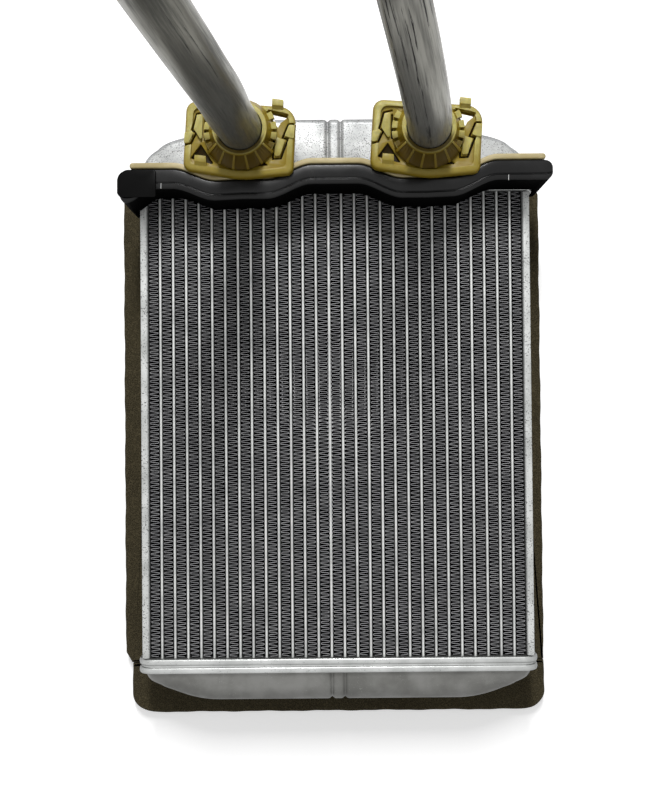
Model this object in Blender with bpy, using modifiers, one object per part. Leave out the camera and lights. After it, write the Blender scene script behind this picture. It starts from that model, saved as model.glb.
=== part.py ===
"""Heater core: tube-and-fin matrix, tanks, port pipes, retainer clips, rim seal and foam.

Metres, +Z up. The core lies on its foam frame with its front face up.
X runs across the tubes, and +Y runs along them towards the tank with the ports.
Shapes are placed about the middle of the matrix, at the height of the foam's underside.
"""

import math

import bmesh
import bpy
from mathutils import Matrix, Vector

MM = 0.001
CLEARANCE = 0.3 * MM
CUT_OVERRUN = 5.0 * MM
FLAT_ANGLE = math.radians(0.5)

# Tubes
TUBE_COUNT = 28
TUBE_PITCH = 6.0 * MM
TUBE_THICKNESS = 1.3 * MM
TUBE_WALL = 0.3 * MM
TUBE_DEPTH = 30.6 * MM
TUBE_NOSE = 0.4 * MM
TUBE_STAND = 2.0 * MM
MATRIX_LENGTH = 214.0 * MM

# Corrugated fins
FIN_LEGS = 24
FIN_FOIL = 0.25 * MM
FIN_SETBACK = 0.4 * MM

# Side plates, channels open to the outside
SIDE_WIDTH = 3.4 * MM
SIDE_METAL = 1.2 * MM
SIDE_PAST_TUBES = 1.7 * MM

# Headers, pressed trays with two rolls round their rim
HEADER_REACH = 2.25 * MM
HEADER_PAST_TUBES = 2.7 * MM
HEADER_PLATE = 1.5 * MM
HEADER_WALL = 1.2 * MM
HEADER_CORNER = 5.0 * MM
ROLL_HEIGHT = 2.9 * MM
ROLL_GROOVE = 0.9 * MM
ROLL_PROUD = 0.9 * MM
ROLL_ROUND = 0.85 * MM
ROLL_SHY = 0.05 * MM

# Tanks
TANK_WALL = 1.5 * MM
TOP_TANK_HEIGHT = 31.1 * MM
TOP_SHOULDER_REACH = 70.0 * MM
TOP_SHOULDER_RUN = 34.0 * MM
TOP_SHOULDER_DROP = 8.3 * MM
TOP_CORNER_HEIGHT = 17.2 * MM
TOP_TANK_ROUND = 3.0 * MM
BOTTOM_TANK_HEIGHT = 16.6 * MM
BOTTOM_SHOULDER_REACH = 84.0 * MM
BOTTOM_SHOULDER_RUN = 20.0 * MM
BOTTOM_SHOULDER_DROP = 7.3 * MM
BOTTOM_CORNER_HEIGHT = 5.3 * MM
BOTTOM_TANK_ROUND = 7.0 * MM
LIP_OVERRUN = 0.5 * MM
SHOULDER_INSET_SHARE = 0.4
PINCH_PAST_HEADER = 0.5 * MM
PINCH_SPACING = 6.0 * MM
PINCH_WIDTH = 2.0 * MM
PINCH_DEPTH = 0.7 * MM
DIVIDER_THICKNESS = 1.5 * MM

# Foam frame on the back
FOAM_THICKNESS = 8.0 * MM
FOAM_LEFT_OVERHANG = 14.6 * MM
FOAM_RIGHT_OVERHANG = 11.5 * MM
FOAM_LOWER_OVERHANG = 13.6 * MM
FOAM_LAP = 5.3 * MM
FOAM_SIDE_PAST_HEADER = 3.0 * MM
FOAM_SIDE_PAST_RIM = 6.0 * MM
FOAM_CORNER = 14.0 * MM
FOAM_CORNER_RISE = 4.5 * MM
FOAM_CORNER_RUN = 8.0 * MM
FOAM_CORNER_ROUND = 9.0 * MM
FOAM_CUT_CORNER = 2.0 * MM
FOAM_LOWER_TONGUE = 10.0 * MM
FOAM_TOP_HEIGHT = 20.0 * MM

# Rim wall across the ports: black seal below, tan carrier above
RIM_PAST_HEADER = 3.0 * MM
RIM_RIGHT_EXTRA = 1.6 * MM
RIM_HEIGHT = 20.4 * MM
RIM_LEG_DEPTH = 37.0 * MM
RIM_OFFSET = 1.0 * MM
RIM_DIP = 7.7 * MM
RIM_DIP_HALF = 31.0 * MM
RIM_DIP_STEPS = 10
RIM_END_DROP = 0.9 * MM
RIM_END_ROUND = 3.0 * MM
RIM_END_ROUND_SHARE = 0.45
SEAL_WIDTH = 8.8 * MM
CARRIER_WIDTH = 2.6 * MM
FLAP_THICKNESS = 0.8 * MM
FLAP_LENGTH = 16.5 * MM
FLAP_WIDTH = 12.0 * MM
FLAP_DROP = 5.4 * MM
FLAP_LEG_SHARE = 0.5

# Ports
PORT_X = 41.0 * MM
COLLAR_TO_HEADER = 1.4 * MM
PIPE_RADIUS = 9.5 * MM
PIPE_WALL = 1.4 * MM
PIPE_SIDE_COUNT = 12
PIPE_INSERT = 20.7 * MM
BEAD_BELOW_COLLAR = 1.2 * MM
BEAD_LENGTH = 3.0 * MM
BEAD_RISE = 2.9 * MM
BEAD_RAMP = 0.6 * MM
HOSE_BEAD_RISE = 1.1 * MM
HOSE_BEAD_SETBACK = 8.0 * MM
HOSE_BEAD_NEAR_RAMP = 2.4 * MM
HOSE_BEAD_FAR_RAMP = 1.4 * MM
PIPE_STRAIGHT = 20.0 * MM
COLLAR_BODY_RADIUS = 13.2 * MM
COLLAR_RIM_RADIUS = 16.2 * MM
COLLAR_RIM_HEIGHT = 3.5 * MM
COLLAR_RIM_TAPER = 1.2 * MM
COLLAR_NECK_WALL = 1.7 * MM
COLLAR_NECK_REACH = 1.0 * MM
O_RING_SECTION = 3.0 * MM
O_RING_SEAT_DEPTH = 7.9 * MM

# Retainer clips, sized from the port's axis
CLIP_THICKNESS = 3.6 * MM
CLIP_TURN = math.radians(-3.5)
CLIP_HALF_WIDTH = 24.9 * MM
CLIP_LOWER = 17.8 * MM
CLIP_SAG = 3.2 * MM
CLIP_SAG_ROUND = 40.0 * MM
CLIP_UPPER = 13.2 * MM
CLIP_CORNER = 5.0 * MM
CLIP_ROUND = 0.6 * MM
CLIP_BORE_CLEARANCE = 0.4 * MM
SLEEVE_RADIUS = 14.2 * MM
SLEEVE_TOP_RADIUS = 12.0 * MM
SLEEVE_RISE = 6.5 * MM
SLEEVE_LIP = 0.8 * MM
SLEEVE_EDGE = 0.4 * MM
RIB_COUNT = 16
RIB_WIDTH = 1.0 * MM
RIB_REACH = 1.3 * MM
RIB_SINK = 0.8 * MM
RIB_EDGE = 0.5 * MM
RIB_BELOW_CROWN = 1.2 * MM
LATCH_SLOT = 0.8 * MM
STOP_RISE = 1.2 * MM
STOP_SINK = 2.9 * MM

# Derived places
SIDE_DEPTH = TUBE_DEPTH + 2 * SIDE_PAST_TUBES
HEADER_DEPTH = TUBE_DEPTH + 2 * HEADER_PAST_TUBES
FIN_WIDTH = TUBE_PITCH - TUBE_THICKNESS - 2 * CLEARANCE
SIDE_INNER = TUBE_COUNT * TUBE_PITCH / 2 + FIN_WIDTH / 2 + CLEARANCE
SIDE_OUTER = SIDE_INNER + SIDE_WIDTH
HEADER_HALF = SIDE_OUTER + HEADER_REACH
RIM_HALF_WIDTH = HEADER_HALF + RIM_PAST_HEADER
RIM_RIGHT_END = RIM_HALF_WIDTH + RIM_RIGHT_EXTRA
POCKET_INSET = ROLL_PROUD + HEADER_WALL
TANK_INSET = POCKET_INSET + CLEARANCE
TANK_HALF = HEADER_HALF - TANK_INSET
MATRIX_HALF = MATRIX_LENGTH / 2
HEADER_HEIGHT = 2 * ROLL_HEIGHT + ROLL_GROOVE
HEADER_END = MATRIX_HALF + HEADER_HEIGHT
TUBE_END = MATRIX_HALF + HEADER_PLATE + TUBE_STAND
TANK_LIP = TUBE_END + CLEARANCE
BACK = FOAM_THICKNESS + CLEARANCE
MID_DEPTH = BACK + HEADER_DEPTH / 2
HEADER_FRONT = BACK + HEADER_DEPTH
TANK_HALF_DEPTH = HEADER_DEPTH / 2 - TANK_INSET
TANK_FRONT = MID_DEPTH + TANK_HALF_DEPTH
RIM_BASE = HEADER_FRONT + CLEARANCE
RIM_FRONT = RIM_BASE + RIM_HEIGHT
RIM_Y = MATRIX_HALF - RIM_OFFSET
PORT_Y = HEADER_END + COLLAR_TO_HEADER + COLLAR_BODY_RADIUS
CLIP_BASE = RIM_FRONT + CLEARANCE
CLIP_TOP = CLIP_BASE + CLIP_THICKNESS
COLLAR_TOP = CLIP_BASE - CLEARANCE
SLEEVE_CROWN = CLIP_TOP + SLEEVE_RISE
RIM_CUT_REACH = RIM_DIP + SEAL_WIDTH + CARRIER_WIDTH + CUT_OVERRUN
PORT_BORE = PIPE_RADIUS + CLEARANCE

# Routes of the pipes in millimetres, from the port's axis at the crown of the sleeve
PIPE_LEFT_ROUTE = (
    (-1.3, -2.9, 31.2),
    (-2.4, -4.1, 58.7),
    (-5.2, -3.1, 78.7),
    (-9.8, -0.3, 104.8),
    (-15.4, 4.4, 127.9),
    (-23.2, 11.7, 157.0),
)
PIPE_RIGHT_ROUTE = (
    (-3, -2.0, 27.0),
    (-7.2, 2.4, 50.8),
    (-12, 10.4, 71.0),
    (-16.9, 19.9, 88.1),
    (-24.4, 34.7, 113.4),
)

# How a flat outline is turned before it is extruded along the named axis
OUTLINE_PLANES = {
    "X": Matrix(((0, 0, 1, 0), (1, 0, 0, 0), (0, 1, 0, 0), (0, 0, 0, 1))),
    "Y": Matrix.Rotation(math.pi / 2, 4, "X"),
    "Z": Matrix.Identity(4),
}

ALUMINIUM = ((0.56, 0.57, 0.57), 0.38, 0.9)
FIN_ALUMINIUM = ((0.42, 0.43, 0.44), 0.45, 0.9)
TANK_ALUMINIUM = ((0.72, 0.73, 0.73), 0.42, 0.85)
PIPE_ALUMINIUM = ((0.40, 0.40, 0.38), 0.4, 0.9)
CLIP_PLASTIC = ((0.42, 0.35, 0.10), 0.45, 0.0)
CARRIER_PLASTIC = ((0.62, 0.53, 0.28), 0.5, 0.0)
SEAL_RUBBER = ((0.03, 0.03, 0.03), 0.75, 0.0)
FOAM_OLIVE = ((0.045, 0.035, 0.018), 0.95, 0.0)


def clear_scene():
    """Remove every object from the scene."""
    for item in list(bpy.data.objects):
        bpy.data.objects.remove(item, do_unlink=True)


def make_collection(name):
    """A new collection linked to the scene."""
    collection = bpy.data.collections.new(name)
    bpy.context.scene.collection.children.link(collection)
    return collection


clear_scene()
PARTS = make_collection("heater_core")
CUTTERS = make_collection("cutters")
ROOT = bpy.data.objects.new("heater_core_root", None)
PARTS.objects.link(ROOT)


def finish(name, obj, look):
    """Name a piece, give it its own material and hang it on the root."""
    colour, roughness, metallic = look
    material = bpy.data.materials.new(name)
    material.use_nodes = True
    shader = material.node_tree.nodes["Principled BSDF"]
    shader.inputs["Base Color"].default_value = (*colour, 1.0)
    shader.inputs["Roughness"].default_value = roughness
    shader.inputs["Metallic"].default_value = metallic
    obj.name = name
    obj.data.name = name
    obj.data.materials.clear()
    obj.data.materials.append(material)
    obj.parent = ROOT
    return obj


def mesh_from_curve(curve_object):
    """Replace a curve object by the welded mesh that it evaluates to."""
    bpy.context.view_layer.update()
    depsgraph = bpy.context.evaluated_depsgraph_get()
    mesh = bpy.data.meshes.new_from_object(curve_object.evaluated_get(depsgraph))
    shape = bmesh.new()
    shape.from_mesh(mesh)
    bmesh.ops.remove_doubles(shape, verts=shape.verts, dist=0.01 * MM)
    bmesh.ops.recalc_face_normals(shape, faces=shape.faces)
    bmesh.ops.dissolve_limit(
        shape, angle_limit=FLAT_ANGLE, verts=shape.verts, edges=shape.edges
    )
    shape.to_mesh(mesh)
    shape.free()
    mesh_object = bpy.data.objects.new(curve_object.name, mesh)
    mesh_object.matrix_world = curve_object.matrix_world
    PARTS.objects.link(mesh_object)
    bpy.data.objects.remove(curve_object, do_unlink=True)
    return mesh_object


def outline_solid(name, loops, axis, low, high):
    """Flat outline, with its holes, extruded between two levels of an axis."""
    data = bpy.data.curves.new(name, "CURVE")
    data.dimensions = "2D"
    data.fill_mode = "BOTH"
    data.extrude = (high - low) / 2
    for loop in loops:
        spline = data.splines.new("POLY")
        spline.points.add(len(loop) - 1)
        for point, (u, v) in zip(spline.points, loop):
            point.co = (u, v, 0.0, 1.0)
        spline.use_cyclic_u = True
    curve_object = bpy.data.objects.new(name, data)
    PARTS.objects.link(curve_object)
    middle = (low + high) / 2
    travel = Vector([middle if axis == letter else 0.0 for letter in "XYZ"])
    curve_object.matrix_world = Matrix.Translation(travel) @ OUTLINE_PLANES[axis]
    return mesh_from_curve(curve_object)


def turned_solid(name, profile, centre, steps):
    """(radius, height) profile turned about a vertical axis.

    A ring's profile is closed; one that starts and ends on the axis is not.
    """
    mesh = bpy.data.meshes.new(name)
    points = [(radius, 0.0, height) for radius, height in profile]
    edges = [(i, i + 1) for i in range(len(points) - 1)]
    if profile[0][0] > 0:
        edges.append((len(points) - 1, 0))
    mesh.from_pydata(points, edges, [])
    turned = bpy.data.objects.new(name, mesh)
    turned.location = centre
    PARTS.objects.link(turned)
    screw = turned.modifiers.new("Turn", "SCREW")
    screw.steps = steps
    screw.render_steps = steps
    screw.use_merge_vertices = True
    screw.merge_threshold = 0.01 * MM
    return turned


def rounded_outline(corners, steps=3):
    """Closed outline through (x, y, radius) corners, each radius as an arc."""
    outline = []
    count = len(corners)
    for index, (x, y, radius) in enumerate(corners):
        here = Vector((x, y))
        before = (Vector(corners[index - 1][:2]) - here).normalized()
        after = (Vector(corners[(index + 1) % count][:2]) - here).normalized()
        if radius == 0:
            outline.append((x, y))
            continue
        half = before.angle(after) / 2
        centre = here + (before + after).normalized() * radius / math.sin(half)
        start = here + before * radius / math.tan(half) - centre
        sweep = (here + after * radius / math.tan(half) - centre).angle_signed(start)
        for step in range(steps + 1):
            turn = Matrix.Rotation(sweep * step / steps, 2)
            outline.append(tuple(centre + turn @ start))
    return outline


def rounded_rectangle(half_u, half_v, radius, centre_v=0.0, steps=3):
    """Rectangle with rounded corners, centred on u = 0."""
    corners = [
        (-half_u, centre_v - half_v, radius),
        (half_u, centre_v - half_v, radius),
        (half_u, centre_v + half_v, radius),
        (-half_u, centre_v + half_v, radius),
    ]
    return rounded_outline(corners, steps)


def ribbon(points, width):
    """Outline of a band of one width along a bent line."""
    left, right = [], []
    for index, point in enumerate(points):
        here = Vector(point)
        back = (here - Vector(points[index - 1])).normalized() if index else None
        ahead = None
        if index + 1 < len(points):
            ahead = (Vector(points[index + 1]) - here).normalized()
        along = ((back or ahead) + (ahead or back)).normalized()
        across = Vector((-along.y, along.x))
        lean = across.dot(Vector((-(ahead or back).y, (ahead or back).x)))
        offset = across * width / 2 / max(lean, 0.5)
        left.append(tuple(here + offset))
        right.append(tuple(here - offset))
    return left + right[::-1]


def bevel(obj, width, segments, angle=50):
    """Round the edges of a piece that turn by more than an angle."""
    modifier = obj.modifiers.new("Round", "BEVEL")
    modifier.width = width
    modifier.segments = segments
    modifier.limit_method = "ANGLE"
    modifier.angle_limit = math.radians(angle)


def combine(obj, other, operation, name):
    """Boolean of a piece with another object, which is kept as a cutter."""
    PARTS.objects.unlink(other)
    CUTTERS.objects.link(other)
    other.parent = ROOT
    other.hide_render = True
    other.display_type = "WIRE"
    modifier = obj.modifiers.new(name, "BOOLEAN")
    modifier.operation = operation
    modifier.object = other
    modifier.solver = "EXACT"


def join(objects):
    """Join meshes that stay apart into one object, and return it."""
    first = objects[0]
    with bpy.context.temp_override(
        active_object=first,
        object=first,
        selected_objects=objects,
        selected_editable_objects=objects,
    ):
        bpy.ops.object.join()
    return first


def tube_place(index):
    """X of a tube, counted from the left."""
    return (index - (TUBE_COUNT - 1) / 2) * TUBE_PITCH


def tube_section(inset):
    """Section of a flat tube across X and Z, with blunt noses on its narrow edges."""
    half_thickness = TUBE_THICKNESS / 2 - inset
    half_depth = TUBE_DEPTH / 2 - inset
    shoulder = half_depth - TUBE_NOSE
    back = [(-half_thickness, -shoulder), (0.0, -half_depth), (half_thickness, -shoulder)]
    front = [(-u, -v) for u, v in back]
    return [(u, MID_DEPTH + v) for u, v in back + front]


def bore_section():
    """Section of the flat passage inside a tube."""
    half_thickness = TUBE_THICKNESS / 2 - TUBE_WALL
    half_depth = TUBE_DEPTH / 2 - TUBE_NOSE - TUBE_WALL
    back = [(-half_thickness, -half_depth), (half_thickness, -half_depth)]
    front = [(-u, -v) for u, v in back]
    return [(u, MID_DEPTH + v) for u, v in back + front]


def tube_row(name, section, low, high):
    """One solid of a section at each tube's place, as one object."""
    solids = []
    for index in range(TUBE_COUNT):
        x = tube_place(index)
        loop = [(x + u, v) for u, v in section]
        solids.append(outline_solid(f"{name}_{index + 1}", [loop], "Y", low, high))
    return join(solids)


def header_outline(inset):
    """Outline of the header across X and Z."""
    half_depth = HEADER_DEPTH / 2 - inset
    return rounded_rectangle(HEADER_HALF - inset, half_depth, HEADER_CORNER - inset, MID_DEPTH, 2)


def header_level(side, distance):
    """Y of a level that lies so far past the matrix on one side."""
    return side * (MATRIX_HALF + distance)


def header_slab(name, side, inset, low, high):
    """Slab in the header's outline between two distances past the matrix."""
    levels = sorted((header_level(side, low), header_level(side, high)))
    return outline_solid(name, [header_outline(inset)], "Y", *levels)


def make_header(name, side):
    """Header tray: a plate and a rim with two rolls and the groove between them."""
    tray = header_slab(name, side, ROLL_PROUD, 0.0, HEADER_HEIGHT)
    for label, start in (("upper", 0.0), ("lower", ROLL_HEIGHT + ROLL_GROOVE)):
        low, high = start + ROLL_SHY, start + ROLL_HEIGHT - ROLL_SHY
        roll = header_slab(f"{name}_{label}_roll", side, 0.0, low, high)
        bevel(roll, ROLL_ROUND, 2)
        combine(tray, roll, "UNION", f"{label} roll")
    beyond = HEADER_HEIGHT + CUT_OVERRUN
    pocket = header_slab(f"{name}_pocket", side, POCKET_INSET, HEADER_PLATE, beyond)
    combine(tray, pocket, "DIFFERENCE", "pocket")
    return tray


def make_tube_bank():
    """Lower header with all tubes brazed into it, and the bores through them."""
    bank = make_header("tube_bank", -1)
    tubes = tube_row("tube_walls", tube_section(0.0), -TUBE_END, TUBE_END)
    combine(bank, tubes, "UNION", "tubes")
    beyond = TUBE_END + CUT_OVERRUN
    bores = tube_row("tube_bores", bore_section(), -beyond, beyond)
    combine(bank, bores, "DIFFERENCE", "bores")
    finish("tube_bank", bank, ALUMINIUM)


def make_top_header():
    """Upper header tray, slotted for the tubes."""
    header = make_header("top_header", 1)
    section = tube_section(-CLEARANCE)
    span = (MATRIX_HALF - CUT_OVERRUN, TUBE_END + CUT_OVERRUN)
    slots = tube_row("tube_slots", section, *span)
    combine(header, slots, "DIFFERENCE", "slots")
    finish("top_header", header, ALUMINIUM)


def make_fins():
    """Corrugated strips between the tubes and outside the outer ones."""
    low = -MATRIX_HALF + CLEARANCE
    step = -2 * low / FIN_LEGS
    foil = FIN_FOIL * math.hypot(step, FIN_WIDTH) / step
    back = MID_DEPTH - TUBE_DEPTH / 2 + FIN_SETBACK
    front = MID_DEPTH + TUBE_DEPTH / 2 - FIN_SETBACK
    for row in range(TUBE_COUNT + 1):
        centre = (row - TUBE_COUNT / 2) * TUBE_PITCH
        left, right = [], []
        for index in range(FIN_LEGS + 1):
            side = 1 if (index + row) % 2 else -1
            crest = centre + side * (FIN_WIDTH - foil) / 2
            left.append((crest - foil / 2, low + step * index))
            right.append((crest + foil / 2, low + step * index))
        name = f"fin_{row + 1:02d}"
        strip = outline_solid(name, [left + right[::-1]], "Z", back, front)
        finish(name, strip, FIN_ALUMINIUM)


def make_side_plates():
    """Channels along both sides of the matrix, open to the outside."""
    half_depth = SIDE_DEPTH / 2
    half_length = MATRIX_HALF - CLEARANCE
    for name, side in (("side_plate_left", -1), ("side_plate_right", 1)):
        web, edge, metal = side * SIDE_INNER, side * SIDE_OUTER, side * SIDE_METAL
        bend = SIDE_METAL
        section = [
            (web, MID_DEPTH - half_depth, bend),
            (edge, MID_DEPTH - half_depth, 0),
            (edge, MID_DEPTH - half_depth + SIDE_METAL, 0),
            (web + metal, MID_DEPTH - half_depth + SIDE_METAL, 0),
            (web + metal, MID_DEPTH + half_depth - SIDE_METAL, 0),
            (edge, MID_DEPTH + half_depth - SIDE_METAL, 0),
            (edge, MID_DEPTH + half_depth, 0),
            (web, MID_DEPTH + half_depth, bend),
        ]
        loop = rounded_outline(section)
        plate = outline_solid(name, [loop], "Y", -half_length, half_length)
        finish(name, plate, ALUMINIUM)


def tank_outline(side, lip, half, height, flat, shoulder_reach, shoulder_drop, corner_height):
    """Front outline of a tank: straight lip, flat top, sloped shoulders, oval corners."""
    corner_width = half - shoulder_reach
    spring = height - shoulder_drop - corner_height
    right = [(half, lip), (half, spring)]
    for step in range(1, 5):
        turn = math.pi / 2 * step / 4
        reach = shoulder_reach + corner_width * math.cos(turn)
        right.append((reach, spring + corner_height * math.sin(turn)))
    right.append((flat, height))
    whole = right + [(-x, y) for x, y in reversed(right)]
    return [(x, side * (TANK_LIP + y)) for x, y in whole]


def tank_section(side, height, rounding, inset):
    """Section of a tank across Y and Z, from its back lip round to its front lip."""
    reach = TANK_HALF_DEPTH - inset
    radius = rounding - inset
    top = side * (TANK_LIP + height - inset)
    corners = [
        (side * (HEADER_END + PINCH_PAST_HEADER), MID_DEPTH - reach, 0),
        (top, MID_DEPTH - reach, radius),
        (top, MID_DEPTH + reach, radius),
        (side * (HEADER_END + PINCH_PAST_HEADER), MID_DEPTH + reach, 0),
    ]
    return rounded_outline(corners, 4)


def round_tank_rim(tank, lip, rounding, segments):
    """Round the tank's front and back rims, all but the straight lip."""
    shape = bmesh.new()
    shape.from_mesh(tank.data)
    rims = [
        edge
        for edge in shape.edges
        if abs(edge.verts[0].co.z - edge.verts[1].co.z) < 0.01 * MM
        and edge.calc_face_angle(0) > math.radians(50)
        and max(abs(vert.co.y - lip) for vert in edge.verts) > 0.1 * MM
    ]
    bmesh.ops.bevel(
        shape, geom=rims, offset=rounding, segments=segments, profile=0.5, affect="EDGES"
    )
    shape.to_mesh(tank.data)
    shape.free()


def tank_form(name, side, inset, outline_sizes, rounding, segments):
    """Solid form of a tank, drawn in by an inset on every closed side."""
    height, flat, shoulder_reach, shoulder_drop, corner_height = outline_sizes
    lip = -LIP_OVERRUN if inset else 0.0
    outline = tank_outline(
        side,
        lip,
        TANK_HALF - inset,
        height - inset,
        flat,
        shoulder_reach - inset * SHOULDER_INSET_SHARE,
        shoulder_drop,
        corner_height,
    )
    depth = TANK_HALF_DEPTH - inset
    form = outline_solid(name, [outline], "Z", MID_DEPTH - depth, MID_DEPTH + depth)
    round_tank_rim(form, side * (TANK_LIP + lip), rounding - inset, segments)
    return form


def cut_pinch(tank, name, side, height, rounding):
    """Two grooves round the tank's middle, with the rib between them."""
    inner = tank_section(side, height, rounding, PINCH_DEPTH)
    lip = inner[0][0]
    top = side * (TANK_LIP + height + CUT_OVERRUN)
    front = TANK_FRONT + CUT_OVERRUN
    back = MID_DEPTH - TANK_HALF_DEPTH - CUT_OVERRUN
    loop = inner + [(lip, front), (top, front), (top, back), (lip, back)]
    for label, x in (("left", -PINCH_SPACING / 2), ("right", PINCH_SPACING / 2)):
        span = (x - PINCH_WIDTH / 2, x + PINCH_WIDTH / 2)
        groove = outline_solid(f"{name}_groove_{label}", [loop], "X", *span)
        combine(tank, groove, "DIFFERENCE", f"pinch {label}")


def make_bottom_tank():
    """Lower tank, a rounded pan with its open side at the header."""
    sizes = (
        BOTTOM_TANK_HEIGHT,
        BOTTOM_SHOULDER_REACH - BOTTOM_SHOULDER_RUN,
        BOTTOM_SHOULDER_REACH,
        BOTTOM_SHOULDER_DROP,
        BOTTOM_CORNER_HEIGHT,
    )
    tank = tank_form("bottom_tank", -1, 0.0, sizes, BOTTOM_TANK_ROUND, 4)
    hollow = tank_form("bottom_hollow", -1, TANK_WALL, sizes, BOTTOM_TANK_ROUND, 3)
    combine(tank, hollow, "DIFFERENCE", "hollow")
    cut_pinch(tank, "bottom_tank", -1, BOTTOM_TANK_HEIGHT, BOTTOM_TANK_ROUND)
    finish("bottom_tank", tank, TANK_ALUMINIUM)


def make_top_tank():
    """Upper tank, with the two port holes in its front."""
    sizes = (
        TOP_TANK_HEIGHT,
        TOP_SHOULDER_REACH - TOP_SHOULDER_RUN,
        TOP_SHOULDER_REACH,
        TOP_SHOULDER_DROP,
        TOP_CORNER_HEIGHT,
    )
    tank = tank_form("top_tank", 1, 0.0, sizes, TOP_TANK_ROUND, 2)
    hollow = tank_form("top_hollow", 1, TANK_WALL, sizes, TOP_TANK_ROUND, 1)
    combine(tank, hollow, "DIFFERENCE", "hollow")
    hole = PORT_BORE + COLLAR_NECK_WALL + CLEARANCE
    for label, x in (("left", -PORT_X), ("right", PORT_X)):
        profile = [(0.0, CUT_OVERRUN), (hole, CUT_OVERRUN)]
        profile += [(hole, -CUT_OVERRUN), (0.0, -CUT_OVERRUN)]
        drill = turned_solid(f"port_hole_{label}", profile, (x, PORT_Y, TANK_FRONT), 24)
        combine(tank, drill, "DIFFERENCE", f"port {label}")
    cut_pinch(tank, "top_tank", 1, TOP_TANK_HEIGHT, TOP_TANK_ROUND)
    finish("top_tank", tank, TANK_ALUMINIUM)


def make_tank_divider():
    """Plate across the middle of the upper tank, between inlet and outlet."""
    gap = TANK_WALL + CLEARANCE
    low = MATRIX_HALF + HEADER_PLATE + CLEARANCE
    high = TANK_LIP + TOP_TANK_HEIGHT - gap
    half_depth = TANK_HALF_DEPTH - gap
    corner = TOP_TANK_ROUND
    corners = [
        (low, MID_DEPTH - half_depth, 0),
        (high, MID_DEPTH - half_depth, corner),
        (high, MID_DEPTH + half_depth, corner),
        (low, MID_DEPTH + half_depth, 0),
    ]
    half = DIVIDER_THICKNESS / 2
    plate = outline_solid("tank_divider", [rounded_outline(corners)], "X", -half, half)
    finish("tank_divider", plate, ALUMINIUM)


def make_port_collar(name, x):
    """Turned collar on the upper tank: neck in the tank, seat for the O-ring."""
    neck = PORT_BORE + COLLAR_NECK_WALL
    seat = PORT_BORE + O_RING_SECTION + CLEARANCE
    base = TANK_FRONT + CLEARANCE
    profile = [
        (seat, COLLAR_TOP),
        (COLLAR_RIM_RADIUS, COLLAR_TOP),
        (COLLAR_RIM_RADIUS, COLLAR_TOP - COLLAR_RIM_HEIGHT),
        (COLLAR_BODY_RADIUS, COLLAR_TOP - COLLAR_RIM_HEIGHT - COLLAR_RIM_TAPER),
        (COLLAR_BODY_RADIUS, base),
        (neck, base),
        (neck, TANK_FRONT - TANK_WALL - COLLAR_NECK_REACH),
        (PORT_BORE, TANK_FRONT - TANK_WALL - COLLAR_NECK_REACH),
        (PORT_BORE, COLLAR_TOP - O_RING_SEAT_DEPTH),
        (seat, COLLAR_TOP - O_RING_SEAT_DEPTH),
    ]
    collar = turned_solid(name, profile, (x, PORT_Y, 0.0), 20)
    finish(name, collar, ALUMINIUM)


def make_o_ring(name, x):
    """Rubber ring on the collar's seat, round the pipe."""
    radius = O_RING_SECTION / 2
    height = COLLAR_TOP - O_RING_SEAT_DEPTH + CLEARANCE + radius
    profile = []
    for step in range(6):
        turn = -2 * math.pi * step / 6
        reach = PORT_BORE + radius + radius * math.cos(turn)
        profile.append((reach, height + radius * math.sin(turn)))
    ring = turned_solid(name, profile, (x, PORT_Y, 0.0), 16)
    finish(name, ring, SEAL_RUBBER)


def clip_window(points, x):
    """Window with slightly rounded corners, in the clip's place."""
    corners = [(x + u * MM, PORT_Y + v * MM, CLIP_ROUND) for u, v in points]
    return rounded_outline(corners, 1)


def clip_slot(points, x):
    """Narrow slot along a bent line, in the clip's place."""
    line = [(x + u * MM, PORT_Y + v * MM) for u, v in points]
    return ribbon(line, LATCH_SLOT)


def clip_outline(x):
    """Outline of the clip's plate, turned a little about the port's axis."""
    turn = Matrix.Rotation(CLIP_TURN, 2)
    corners = [
        (-CLIP_HALF_WIDTH, -CLIP_LOWER, CLIP_CORNER),
        (0.0, -CLIP_LOWER - CLIP_SAG, CLIP_SAG_ROUND),
        (CLIP_HALF_WIDTH, -CLIP_LOWER, CLIP_CORNER),
        (CLIP_HALF_WIDTH, CLIP_UPPER, CLIP_CORNER),
        (-CLIP_HALF_WIDTH, CLIP_UPPER, CLIP_CORNER),
    ]
    places = []
    for u, v, radius in corners:
        turned = turn @ Vector((u, v))
        places.append((x + turned.x, PORT_Y + turned.y, radius))
    return rounded_outline(places)


def make_clip_frame(name, x):
    """Plate of the clip with its windows, latch slots and opening for the sleeve."""
    loops = [clip_outline(x)]
    loops.append(clip_window([(12.9, 8.7), (21.0, 6.4), (16.6, 2.4)], x))
    loops.append(clip_window([(-22.0, -10.6), (-17.2, -6.4), (-13.7, -12.7)], x))
    loops.append(clip_window([(6.2, -15.6), (13.2, -15.4), (11.6, -13.2)], x))
    inner, middle, tip = (16.3, -1.0), (16.3, -10.4), (17.5, -11.6)
    right_latch = [(20.8, 3.0), (18.4, -2.4), (20.6, -3.1), tip, middle, inner]
    left_latch = [(-22.0, -4.8), (-19.6, 0.0), (-21.5, 1.0)]
    left_latch += [(-19.4, 8.4), (-16.3, 7.6), (-16.3, -2.6)]
    loops.append(clip_slot(right_latch, x))
    loops.append(clip_slot(left_latch, x))
    return outline_solid(name, loops, "Z", CLIP_BASE, CLIP_TOP)


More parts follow.
